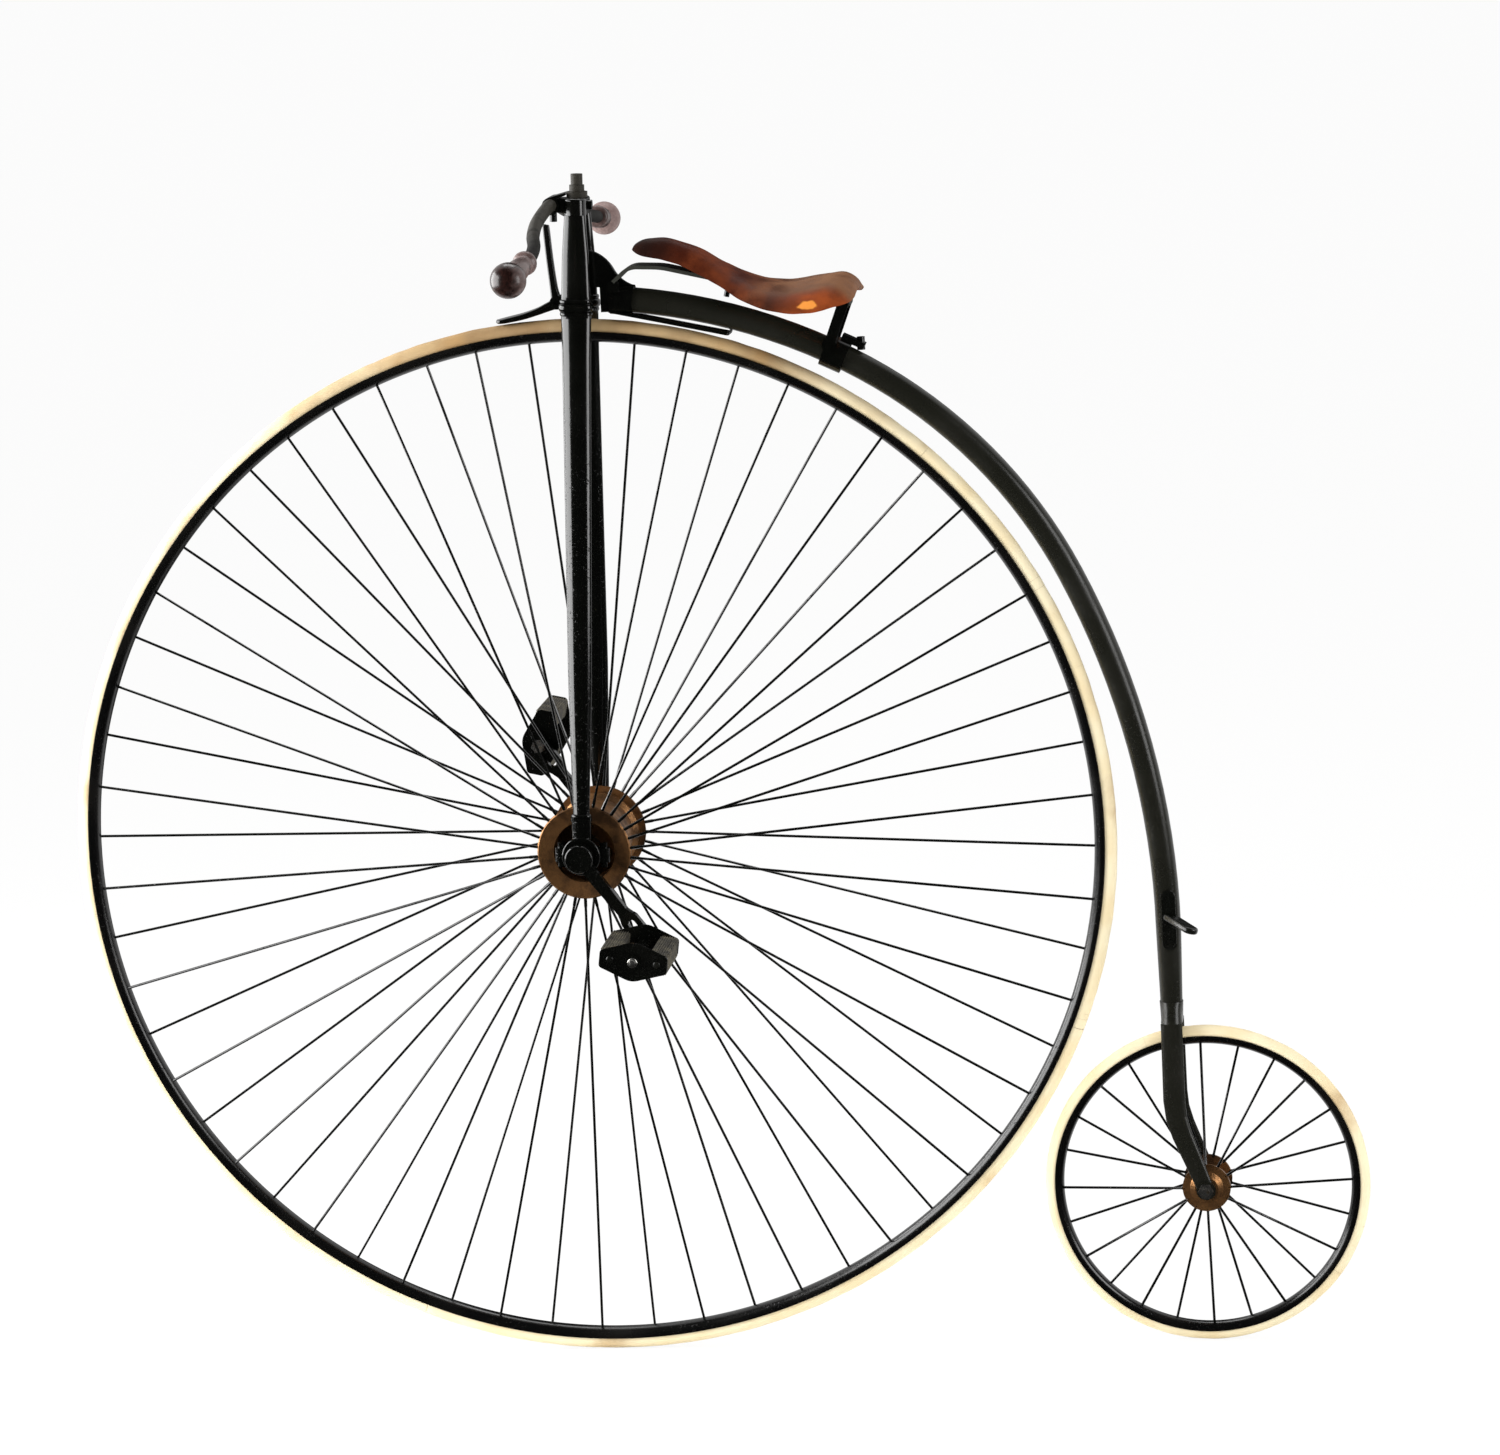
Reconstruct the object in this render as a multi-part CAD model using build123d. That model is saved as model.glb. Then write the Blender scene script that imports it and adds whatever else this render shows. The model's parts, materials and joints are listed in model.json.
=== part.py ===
from build123d import *
import os
from math import asin, atan2, cos, degrees, hypot, radians, sin, sqrt, tan

# A penny farthing bicycle. Front is -X, the rider's left is -Y, up is +Z, in millimetres.
# The pieces are drawn about the front axle, and put() moves them so that the origin is
# the point of the saddle where the rider sits. Fork pieces are drawn upright, and
# in_fork() leans them back by the rake about the front axle.

# Front wheel
TYRE_R = 660.4            # outside of the solid rubber tyre
TYRE_SECTION = 11.0       # radius of its round section
RIM_SECTION = 13.5        # radius of the crescent rim's back
RIM_LIP = 4.8             # how far the rim's lips stop short of the tyre's centre line
RIM_OFFSET = 0.6          # centre of the rim's back outside its lips
SPOKE_R = 1.5
SPOKE_COUNT = 60
SPOKE_SPREAD = 4.5        # spokes of the two sides stand this far from the rim's middle
SPOKE_GAP = 0.3           # from a spoke's foot to the hub flange
SPOKE_PHASE = 3.9         # degrees of the first spoke above straight aft
SPOKE_BITE = 2.2          # how deep a spoke's head goes into the rim

# Front hub
HUB_HALF = 67.6           # outer face of a flange
HUB_FLANGE_R = 59.0
HUB_FLANGE_T = 5.0
HUB_EDGE = 1.6            # rounding of the flange's rim
HUB_MOUTH_R = 38.5        # open mouth in the flange
HUB_DISH = 3.0            # how far the flange falls in towards its mouth
HUB_STEP_R = 51.0
HUB_STEP_T = 7.0
HUB_BARREL_R = 45.0
HUB_TAPER = 6.0
HUB_WEB_T = 22.0          # solid middle that grips the axle
AXLE_R = 9.0
RUNNING_FIT = 0.05

# Rear wheel
REAR_TYRE_R = 203.2
REAR_TYRE_SECTION = 9.5
REAR_RIM_SECTION = 11.0
REAR_RIM_LIP = 3.6
REAR_SPOKE_COUNT = 24
REAR_SPOKE_SPREAD = 3.5
REAR_HUB_HALF = 26.2
REAR_FLANGE_R = 30.0
REAR_FLANGE_T = 3.6
REAR_STEP_R = 21.0
REAR_STEP_T = 4.0
REAR_BARREL_R = 15.0
REAR_CUP_R = 14.5
REAR_CUP_GAP = 1.0        # between the bearing cup and the fork end
REAR_AXLE_R = 5.0
REAR_TRAIL = 35.9         # rear axle behind the backbone's tail
REAR_AXLE_Z = REAR_TYRE_R - TYRE_R     # both tyres stand on one floor

# Bearing housings at the fork ends
HOUSING_BITE = 6.6        # how far a housing reaches into the hub's mouth
HOUSING_T = 31.5
HOUSING_R = 24.0
HOUSING_EDGE = 2.0
HOUSING_LUG = 35.0        # end of a bolt lug from the axle's line
HOUSING_LUG_T = 16.0
HOUSING_LUG_H = 18.0
LUG_BOLT_R = 4.6
LUG_BOLT_OUT = 6.5
NECK_W = 25.0             # neck between the housing and the leg's foot
NECK_T = 16.0
FOOT_FLANGE_T = 4.5
FOOT_FLANGE_W = 27.0
FOOT_FLANGE_D = 17.5
HOUSING_IN = HUB_HALF - HOUSING_BITE
HOUSING_OUT = HOUSING_IN + HOUSING_T

# Cranks and pedals
CRANK_THROW = 132.0
CRANK_ANGLE = -53.5       # of the left crank, from straight aft
CRANK_GAP = 5.5           # housing to crank
CRANK_T = 11.0
CRANK_BOSS_R = 17.6
CRANK_BOSS_T = 15.0
CRANK_BOSS_EDGE = 2.5
CRANK_BOSS_WALL = 3.0     # closes the boss over the axle's end
CRANK_ROOT_W = 17.0
CRANK_NECK_W = 13.0
SLOT_END_R = 11.5
SLOT_HALF = 4.6
SLOT_RUN = 40.0           # between the centres of the slotted end's round ends
SLOT_SHORT = 6.0          # the slot itself is shorter than that
SLOT_BEYOND = 8.0         # centre of the outer round end past the pin
CROTCH_RUN = 16.0         # over which the arm spreads into the slotted end
PIN_R = 6.0
PIN_SHANK_R = 4.5
PIN_COLLAR_R = 10.0
PIN_COLLAR_T = 4.0
PIN_NUT_AF = 15.0
PIN_NUT_T = 6.0
PEDAL_GAP = 5.0           # crank collar to the pedal's inner plate
PEDAL_LENGTH = 105.0      # outside of one plate to the outside of the other
PLATE_T = 3.0
PLATE_MID_R = 24.0
PLATE_HALF = 42.0         # from the pin to a plate's end
PLATE_END_HALF = 12.0     # half height of that end
PLATE_CORNER = 5.0
BLOCK_REACH = 30.0        # rubber block's centre from the pin
BLOCK_W = 24.0
BLOCK_H = 27.0
BLOCK_ROUND = 4.0
RIB_COUNT = 6             # notches across the outer edges of a block
RIB_W = 6.0
RIB_DEEP = 2.0
SLEEVE_R = 8.5
SLEEVE_RING_R = 11.5
SLEEVE_RING_T = 9.0
PEDAL_CAP_R = 9.0
PEDAL_CAP_T = 4.0
LEFT_PEDAL_TILT = -8.5    # line of the blocks, from straight aft
RIGHT_PEDAL_TILT = 77.0
CRANK_INNER = HOUSING_OUT + CRANK_GAP
AXLE_END = CRANK_INNER + CRANK_BOSS_T - CRANK_BOSS_WALL
PEDAL_IN = CRANK_INNER + CRANK_T + PIN_COLLAR_T + PEDAL_GAP
PEDAL_OUT = PEDAL_IN + PEDAL_LENGTH

# Front fork, upright in its own frame
RAKE = 2.03
LEG_FOOT_Z = 48.0
LEG_FOOT_OUT = 17.9       # leg's centre at the axle's height, outside the hub
LEG_GAP = 14.6            # leg's centre at the crown, outside the rim's back
CROWN_OVER = 3.6          # foot of the crown over the tyre
CROWN_H = 26.0
CROWN_CLEAR = 6.5         # crown's bridge over the tyre
CROWN_DEPTH = 24.0
COLLAR_W = 43.5
COLLAR_T = 24.0
COLLAR_H = 10.8
BEAD_IN = 3.0             # the beads above and below are smaller by this
BEAD_H = 5.2
BEAD_LAP = 0.3
BEAD_ROUND = 0.42         # share of a bead's height that rounds each edge
HEAD_H = 100.0
CAP_H = 20.5
CAP_D = 27.0
CAP_ROUND = 3.0
CAP_OVER = 1.0            # wider than the head's sides by this
CAP_NUT_R = 6.0
CAP_NUT_T = 5.0
CROWN_LOW = TYRE_R + CROWN_OVER
CROWN_HIGH = CROWN_LOW + CROWN_H
CROWN_MID = (CROWN_LOW + CROWN_HIGH) / 2
HEAD_HIGH = CROWN_HIGH + HEAD_H
CAP_HIGH = HEAD_HIGH + CAP_H
LEG_FOOT_Y = HUB_HALF + LEG_FOOT_OUT
LEG_TOP_Y = RIM_SECTION + LEG_GAP
# share of the way from foot to crown, fore and aft width, thickness
LEG_STATIONS = [(0, 20.5, 12.5), (0.15, 25.6, 13.5), (0.27, 29.6, 14.5), (0.64, 33.2, 16.0), (0.92, 35.8, 17.2),
                (1, 37.7, 17.8)]
# share of the way from crown to cap, width, thickness, how far the centre stands in from the leg's
SIDE_STATIONS = [(0, 36.5, 16.5, 0.8), (0.51, 33.1, 15.0, 3.5), (1, 26.2, 13.0, 6.1)]

# Steering pins and the lamp spigot on the head
CENTRE_R = 6.0
CENTRE_DEPTH = 14.0
CENTRE_SHORT = 1.0        # the lower pin stops short of its hole's end
TOP_NUT_R = 13.0
TOP_NUT_T = 7.0
RING_R = 9.3
RING_T = 8.0
SPIGOT_R = 7.35
SPIGOT_H = 13.5

# Backbone. Two arcs follow the wheel, each with its radius beyond the tyre's and its turn in
# degrees, and a third turns until the straight tail stands upright
SPINE_X = 64.0
SPINE_OVER = 22.6
SPINE_SLOPE = 4.66
SPINE_BENDS = [(71.6, 23.9), (-41.4, 35.7)]
SPINE_R = 15.75
TAIL_R = 13.8
TAIL_LENGTH = 93.2
TAIL_OVER = 32.0          # end of the tail over the rear tyre
SPINE_START = (SPINE_X, TYRE_R + SPINE_OVER)
TAIL_END = REAR_AXLE_Z + REAR_TYRE_R + TAIL_OVER

# Neck and its lug
NECK_R = 10.5
NECK_GAP = 0.3
WEB_T = 9.0
WEB_FRONT = 26.5          # from the steering axis, where the crown turns before the web
WEB_OVER = 8.0            # web's underside over the crown
# down the web's round back and the hollow below it, from the backbone's start
WEB_BACK = [(-23.2, 60.6), (-2.9, 47.7), (5.2, 36.1), (14.9, 23.5), (26.8, 16.1)]
WEB_FOOT = (26.8, -16.0)
NECK_BITE = 2.0           # how deep the web goes into the neck
LUG_R = 19.0
LUG_LENGTH = 28.0
SPRING_BOSS_R = 8.0
# bolts through the lug: X and Z from the backbone's start, radius, half length
LUG_BOLTS = [(-4.0, 14.7, 4.6, 8.5), (10.1, 1.1, 5.5, 21.0), (-7.5, -8.5, 3.4, 8.0)]

# Rear fork
REAR_CROWN_OVER = 7.0     # crown's underside over the tyre
REAR_CROWN_R = 14.8
REAR_LEG_TOP_Y = 20.5
REAR_LEG_GAP = 9.8        # centre of a fork end outside the hub's flange
REAR_BEND_R = 120.0
REAR_SLANT = 21.6         # of the ends, from upright
# fore and aft width and thickness at the crown, the bend's start, middle and end, and the foot
REAR_SIZES = [(27.0, 11.6), (27.4, 11.6), (26.6, 11.3), (25.4, 11.0), (20.5, 8.5)]
REAR_EYE_R = 12.0
REAR_EYE_T = 8.5
REAR_RIVET_R = 4.2
REAR_RIVET_OUT = 4.0      # past the middle of a blade
REAR_NUT_AF = 16.5
REAR_NUT_T = 8.0
REAR_AXLE_END = 3.0       # of the axle past its nut
REAR_LEG_FOOT_Y = REAR_HUB_HALF + REAR_LEG_GAP
REAR_NUT_IN = REAR_LEG_FOOT_Y + REAR_EYE_T / 2
REAR_LEG_HIGH = REAR_AXLE_Z + REAR_TYRE_R + REAR_CROWN_OVER

# Handlebar, in the fork's frame
BAR_R = 8.0
BAR_RISE = 11.0           # over the head's top
BAR_X = -30.0
# corners of the right half: X, Y, drop
BAR_CORNERS = [(BAR_X, 0, 0), (-31, 38, 0), (-36, 125, 18), (-26, 255, 37), (-23.4, 352, 50.5)]
BAR_BENDS = [60.0, 90.0, 120.0]
BAR_LUG_W = 44.0
BAR_LUG_R = 10.8
BAR_BRIDGE_H = 17.0
BAR_PLATE_T = 3.5
BAR_PLATE_W = 30.0
BAR_PLATE_TILT = 16.0
KNOB_R = 4.5
KNOB_H = 10.0
GRIP_LENGTH = 118.0
GRIP_BALL_R = 21.5
GRIP_BACK = 21.0          # ball's centre inside the bar's end
# along the grip from its inner end, radius
GRIP_PROFILE = [(0, 10.5), (3, 14.2), (8, 14.5), (11.5, 11.2), (20, 10.8), (40, 13.6), (62, 12.6), (78, 10.4)]
BAR_Z = HEAD_HIGH + BAR_RISE
BAR_POINTS = [(x, y, BAR_Z - drop) for x, y, drop in BAR_CORNERS]

# Brake, in the fork's frame
ARM_W = 12.0
# corners of the bell crank, X and height over the tyre
ARM_CORNERS = [(-43, 111.6), (-36, 111.6), (-22, 27.6), (-22, 16.6), (-34, 10.6), (-46, 5.6), (-68, 2.2),
               (-68.5, 9.1), (-34, 25.6), (-33, 33.6)]
BRAKE_X = -28.0
BRAKE_DROP = 9.0          # pivot below the crown's top
BRAKE_PIVOT_R = 3.0
CHEEK_BITE = 2.0          # of a cheek in the crown
CHEEK_T = 4.0
CHEEK_R = 8.0
CHEEK_GAP = 0.2
SPOON_W = 26.0
SPOON_T = 5.0
SPOON_CLEAR = 5.5         # over the tyre
SPOON_START = 95.6        # degrees up from aft, in the fork's frame
SPOON_SPAN = 3.8
BRAKE_PIVOT = (BRAKE_X, CROWN_HIGH - BRAKE_DROP)

# Saddle and springs. Heights are over the rider's seat point
SEAT_POINT = (286.0, TYRE_R + 38.1)
LEATHER_T = 6.0
LEATHER_EDGE = 3.0
# X from the seat point, top in the middle, edge, half width
SADDLE_STATIONS = [(-192, 49.5, 41.5, 9), (-182, 55.5, 39.5, 18), (-156, 58, 32.5, 22), (-128, 51, 25.5, 25),
                   (-104, 41, 13.5, 32), (-80, 26.5, -0.5, 45), (-54, 12, -13.5, 63), (-26, 2.5, -22.5, 82),
                   (4, 0, -27.5, 95), (36, 4.5, -25.5, 98), (60, 7.5, -17.5, 88), (78, 1.5, -10.5, 66)]
SPRING_W = 40.0
SPRING_T = 4.5
# front corners of the spring from the backbone's start, then its rear end from the upper shackle pin
SPRING_FRONT = [(6.0, 22.0), (26.0, 39.5), (66.0, 37.5)]
SPRING_REAR = (-8.0, -2.0)
SPRING_BENDS = [26.0, 90.0]
EYE_R = 7.5
SHACKLE_PIN_R = 4.0
SHACKLE_PIN = (68.0, -30.5)      # upper pin from the seat point
SHACKLE_X = 334.0                # lower pin
SHACKLE_LIFT = 9.9               # lower pin over the backbone's middle line
SHACKLE_W = 13.0
SHACKLE_T = 5.0
SHACKLE_Y = 26.0
SHACKLE_END = 3.0                # pins stand out past the links
CLAMP_R = 21.0
CLAMP_AHEAD = 8.0                # of the lower pin
CLAMP_LENGTH = 28.0
CLAMP_BOSS_R = 9.0
CLAMP_BOSS_OUT = 2.0
EAR = (30.0, 16.0, 8.0)
EAR_BACK = 28.0                  # ear's middle behind and over the lower pin
EAR_UP = 2.0
EAR_BOLT_R = 5.0
EAR_BOLT_IN = 6.0                # from the ear's end
EAR_BOLT_LOW = 9.0               # below the lower pin
EAR_BOLT_H = 16.0

# Steel frame under the leather
FRAME_ROD_R = 3.0
# corners of the right rod: X from the seat point, Y, height
FRAME_CORNERS = [(-174, 8, 43.5), (-104, 17, 23), (-36, 34, -9), (4, 45, -16), (57, 52, -12.5)]
FRAME_BEND = 25.0
NOSE_PLATE = (12.0, 24.0, 4.0)
CANTLE_BACK = 57.0
CANTLE_T = 4.0
CANTLE_HALF = 80.0
CANTLE_TOP = (0.7, -16.0)        # in the middle, at the ends
CANTLE_LOW = (-12.5, -22.5)
CANTLE_FOOT_W = 18.0
CANTLE_LAP = 2.0                 # of the foot on the cantle plate
CLIP_X = 215.0
CLIP_L = 20.0
CLIP_W = 64.0
CLIP_T = 3.5
CLIP_BOLT_R = 3.5
CLIP_BOLT_Y = 25.5
CLIP_BOLT_DROP = 17.0
CLIP_ROD_Y = 27.0                # the saddle's rods pass the clip here
CLIP_ROD_LIFT = 3.7

# Guard rods between the wheel and the backbone
ROD_R = 2.0
ROD_START = 11.1          # middle line over the tyre, at the front and the rear
ROD_END = 7.4
ROD_X_FRONT = 62.0
ROD_Y_FRONT = 12.0
ROD_X_REAR = 208.0
ROD_Y_REAR = 11.0
ROD_CROSS = 9.0           # the cross bar runs on past the far rod
HOOK_RUN = (2.0, 1.0, 9.0)
HOOK_BEND = 4.0
HOOK_BALL_R = 3.5

# Mounting step on the left of the tail
STEP_MIDDLE = 138.0       # over the rear tyre
STEP_H = 76.0
STEP_W = 17.0
STEP_T = 5.0
STEP_SKEW = 2.1           # leaf's middle behind the tail's
STEP_BOLT_R = 3.6
STEP_BOLT_OUT = 2.0
STEP_BOLT_RISE = 27.0     # from the leaf's middle
TOE_RUN = (30.0, -44.0, -10.0)
TOE_FACES = (0.3, 0.0, 1.0)
TOE_UP = 4.0              # toe's root over the leaf's middle
TOE_W = 20.0
TOE_T = 8.0
TOE_ROUND = 3.0

SIDES = {"left": -1, "right": 1}


def seat(x, z):
    """X and Z of a point given from the seat point."""
    return SEAT_POINT[0] + x, SEAT_POINT[1] + z


def spine_bends():
    """Radius and turn of the backbone's three arcs."""
    slope, z = SPINE_SLOPE, SPINE_START[1]
    bends = []
    for beyond, turn in SPINE_BENDS:
        radius = TYRE_R + beyond
        z += radius * (cos(radians(slope + turn)) - cos(radians(slope)))
        slope += turn
        bends.append((radius, turn))
    bends.append(((z - TAIL_END - TAIL_LENGTH) / cos(radians(slope)), 90 - slope))
    return bends


def spine_ends():
    """X, Z and slope below aft at the backbone's start and after each of its arcs."""
    x, z, slope = *SPINE_START, SPINE_SLOPE
    ends = [(x, z, slope)]
    for radius, turn in spine_bends():
        before, after = radians(slope), radians(slope + turn)
        x += radius * (sin(after) - sin(before))
        z += radius * (cos(after) - cos(before))
        slope += turn
        ends.append((x, z, slope))
    return ends


def spine_at(x):
    """Height and slope, in degrees, of the backbone's first arc at a place."""
    radius = TYRE_R + SPINE_BENDS[0][0]
    start = radians(SPINE_SLOPE)
    slope = asin(sin(start) + (x - SPINE_X) / radius)
    return SPINE_START[1] + radius * (cos(slope) - cos(start)), degrees(slope)


TAIL_X = spine_ends()[-1][0]
REAR_AXLE_X = TAIL_X + REAR_TRAIL
SHACKLE_TOP = seat(*SHACKLE_PIN)
SHACKLE_LOW = (SHACKLE_X, spine_at(SHACKLE_X)[0] + SHACKLE_LIFT)
SPRING_POINTS = [(SPINE_START[0] + x, SPINE_START[1] + z) for x, z in SPRING_FRONT]
SPRING_POINTS.append((SHACKLE_TOP[0] + SPRING_REAR[0], SHACKLE_TOP[1] + SPRING_REAR[1]))


def put(name, shape):
    """Write one node, with the seat point moved to the origin."""
    moved = Pos(-SEAT_POINT[0], 0, -SEAT_POINT[1]) * shape
    export_step(moved, os.path.join("parts", name + ".step"))


def in_fork(shape):
    return Rot(0, RAKE, 0) * shape


def at_rear(shape):
    return Pos(REAR_AXLE_X, 0, REAR_AXLE_Z) * shape


def spun(profile):
    """Turn a profile drawn with X as radius and Y as width about the wheel's axle."""
    return revolve(profile, Axis.Y)


def rod(start, end, radius):
    start, end = Vector(*start), Vector(*end)
    run = end - start
    return Plane(origin=start, z_dir=run) * Cylinder(radius, run.length, align=(Align.CENTER, Align.CENTER, Align.MIN))


def six_sided(start, end, radius):
    """A straight bar with six flats, for spokes, whose roundness doesn't matter."""
    start, end = Vector(*start), Vector(*end)
    face = Plane(origin=start, z_dir=end - start) * RegularPolygon(radius, 6)
    return extrude(face, (end - start).length, dir=end - start)


def bent_rod(points, bends, radius):
    path = FilletPolyline(*points, radius=bends)
    return sweep(Plane(origin=path @ 0, z_dir=path % 0) * Circle(radius), path)


def across(x, z, y0, y1, radius):
    """A round bar along Y from y0 to y1."""
    return rod((x, y0, z), (x, y1, z), radius)


def through(x, z, half, radius):
    """A round bar along Y, as long on both sides of the middle plane."""
    return across(x, z, -half, half, radius)


def flat_hex(x, z, y0, y1, across_flats):
    """A nut along Y."""
    face = Plane(origin=(x, min(y0, y1), z), x_dir=(1, 0, 0), z_dir=(0, 1, 0))
    return extrude(face * RegularPolygon(across_flats / 2, 6, False), abs(y1 - y0), dir=(0, 1, 0))


def blade(stations):
    """Loft upright ovals: centre X, Y, Z, then fore and aft width and thickness."""
    sections = [Pos(x, y, z) * Ellipse(width / 2, thick / 2) for x, y, z, width, thick in stations]
    return loft(sections, ruled=True)


def plate(outline, y0, y1):
    """A plate between y0 and y1 with an outline in X and Z."""
    low, high = sorted((y0, y1))
    face = Plane(origin=(0, high, 0), x_dir=(1, 0, 0), z_dir=(0, -1, 0)) * outline
    return extrude(face, high - low, dir=(0, -1, 0))


def strip(points, bends, width, thickness):
    """A flat strap of the given width along Y that follows a bent line in X and Z."""
    path = Plane.XZ * FilletPolyline(*points, radius=bends)
    section = Plane(origin=path @ 0, x_dir=(0, 1, 0), z_dir=path % 0) * Rectangle(width, thickness)
    return sweep(section, path)


def both_sides(half_outline):
    """A closed outline from the half of it on one side of the middle plane."""
    mirrored = [(radius, -width) for radius, width in reversed(half_outline)]
    return make_face(Polyline(*half_outline, *mirrored, close=True))


# Wheels

def tyre(outer, section):
    return spun(Pos(outer - section, 0) * Circle(section))


def rim(outer, section, back, lip):
    """A crescent that holds the tyre, its back towards the hub."""
    middle = outer - section
    crescent = Pos(middle - lip + RIM_OFFSET, 0) * Circle(back) - Pos(middle, 0) * Circle(section)
    crescent -= Pos(middle - lip, 0) * Rectangle(4 * back, 4 * back, align=(Align.MIN, Align.CENTER))
    return spun(crescent)


def rim_back(outer, section, back, lip):
    return outer - section - lip + RIM_OFFSET - back


def spoked_rim(outer, section, back, lip, count, spread, flange_r, flange_y):
    foot = flange_r + SPOKE_GAP
    head = rim_back(outer, section, back, lip) + SPOKE_BITE
    spokes = []
    for number in range(count):
        side = 1 if number % 2 else -1
        spoke = six_sided((foot, side * flange_y, 0), (head, side * spread, 0), SPOKE_R)
        spokes.append(Rot(0, -360 * number / count - SPOKE_PHASE, 0) * spoke)
    return rim(outer, section, back, lip).fuse(*spokes)


def front_hub():
    """Two dished flanges on a barrel, open at their mouths and solid about the axle in the middle."""
    half = HUB_HALF
    inner = half - HUB_FLANGE_T
    step = inner - HUB_STEP_T
    return spun(both_sides([
        (AXLE_R, HUB_WEB_T / 2), (HUB_MOUTH_R, HUB_WEB_T / 2), (HUB_MOUTH_R, half - HUB_DISH),
        (HUB_FLANGE_R - HUB_EDGE, half), (HUB_FLANGE_R, half - HUB_EDGE), (HUB_FLANGE_R, inner),
        (HUB_STEP_R, inner), (HUB_STEP_R, step), (HUB_BARREL_R, step - HUB_TAPER)]))


def rear_hub():
    half = REAR_HUB_HALF
    inner = half - REAR_FLANGE_T
    cup = REAR_LEG_FOOT_Y - REAR_EYE_T / 2 - REAR_CUP_GAP
    bore = REAR_AXLE_R + RUNNING_FIT
    return spun(both_sides([
        (bore, cup), (REAR_CUP_R, cup), (REAR_STEP_R, half), (REAR_FLANGE_R, half), (REAR_FLANGE_R, inner),
        (REAR_STEP_R, inner), (REAR_STEP_R, inner - REAR_STEP_T), (REAR_BARREL_R, inner - REAR_STEP_T)])
        ) - through(0, 0, cup, bore)


def front_axle():
    return through(0, 0, AXLE_END, AXLE_R)


def rear_axle():
    return at_rear(through(0, 0, REAR_NUT_IN + REAR_NUT_T + REAR_AXLE_END, REAR_AXLE_R))


def rear_nuts():
    nuts = []
    for side in SIDES.values():
        nut = flat_hex(0, 0, side * REAR_NUT_IN, side * (REAR_NUT_IN + REAR_NUT_T), REAR_NUT_AF)
        nuts.append(at_rear(nut - through(0, 0, 2 * REAR_NUT_IN, REAR_AXLE_R)))
    return Compound(children=nuts)


# Cranks and pedals, drawn pointing aft on the right-hand side, then turned and mirrored

def crank():
    """A boss closed over the axle's end, a tapered arm and a slotted end for the pedal's pin."""
    boss = across(0, 0, CRANK_INNER, CRANK_INNER + CRANK_BOSS_T, CRANK_BOSS_R)
    boss = fillet(boss.edges().group_by(Axis.Y)[-1], CRANK_BOSS_EDGE)
    far = CRANK_THROW + SLOT_BEYOND
    near = far - SLOT_RUN
    half = [(0, CRANK_ROOT_W / 2), (near - CROTCH_RUN, CRANK_NECK_W / 2), (near, SLOT_END_R)]
    arm = Polygon(*half, *[(x, -z) for x, z in reversed(half)], align=None)
    middle = Pos((near + far) / 2, 0)
    outline = arm + middle * SlotCenterToCenter(SLOT_RUN, 2 * SLOT_END_R)
    slot = middle * SlotCenterToCenter(SLOT_RUN - SLOT_SHORT, 2 * SLOT_HALF)
    return boss + plate(outline - slot, CRANK_INNER, CRANK_INNER + CRANK_T) - across(0, 0, 0, AXLE_END, AXLE_R)


def pedal_pin():
    outer = CRANK_INNER + CRANK_T
    pin = across(CRANK_THROW, 0, CRANK_INNER - PIN_NUT_T, outer, PIN_SHANK_R)
    pin += flat_hex(CRANK_THROW, 0, CRANK_INNER - PIN_NUT_T, CRANK_INNER, PIN_NUT_AF)
    pin += across(CRANK_THROW, 0, outer, outer + PIN_COLLAR_T, PIN_COLLAR_R)
    return pin + across(CRANK_THROW, 0, outer + PIN_COLLAR_T, PEDAL_OUT - PLATE_T, PIN_R)


def end_plate():
    """A diamond with a round middle and blunt ends."""
    x, z = PLATE_HALF - PLATE_CORNER, PLATE_END_HALF - PLATE_CORNER
    corners = [Pos(i * x, j * z) * Circle(PLATE_CORNER) for i in (-1, 1) for j in (-1, 1)]
    return make_hull((Circle(PLATE_MID_R) + corners).edges())


def pedal_frame():
    """Two diamond plates and the sleeve between them, about the pin's line."""
    frame = across(0, 0, PEDAL_IN, PEDAL_OUT, SLEEVE_R)
    for plate_at, ring_at in ((PEDAL_IN, PEDAL_IN + PLATE_T), (PEDAL_OUT - PLATE_T, PEDAL_OUT - PLATE_T - SLEEVE_RING_T)):
        frame += plate(end_plate(), plate_at, plate_at + PLATE_T)
        frame += across(0, 0, ring_at, ring_at + SLEEVE_RING_T, SLEEVE_RING_R)
    frame += across(0, 0, PEDAL_OUT, PEDAL_OUT + PEDAL_CAP_T, PEDAL_CAP_R)
    return frame - across(0, 0, 0, PEDAL_OUT - PLATE_T + RUNNING_FIT, PIN_R + RUNNING_FIT)


def pedal_blocks():
    """Two rubber blocks, notched across their outer edges."""
    start = PEDAL_IN + PLATE_T
    length = PEDAL_LENGTH - 2 * PLATE_T
    whole = RectangleRounded(BLOCK_W, BLOCK_H, BLOCK_ROUND)
    inset = RectangleRounded(BLOCK_W - 2 * RIB_DEEP, BLOCK_H - 2 * RIB_DEEP, BLOCK_ROUND)
    notch = (whole - inset) & (Pos(BLOCK_W / 2, 0) * Rectangle(BLOCK_W, 2 * BLOCK_H))
    pitch = length / RIB_COUNT
    blocks = []
    for turn in (0, 180):
        stand = Rot(0, 0, turn) * Pos(BLOCK_REACH, 0)
        block = plate(stand * whole, start, start + length)
        for number in range(RIB_COUNT):
            low = start + (number + 0.5) * pitch - RIB_W / 2
            block -= plate(stand * notch, low, low + RIB_W)
        blocks.append(block)
    return Compound(children=blocks)


def on_side(shape, side):
    return shape if side > 0 else mirror(shape, Plane.XZ)


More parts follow.
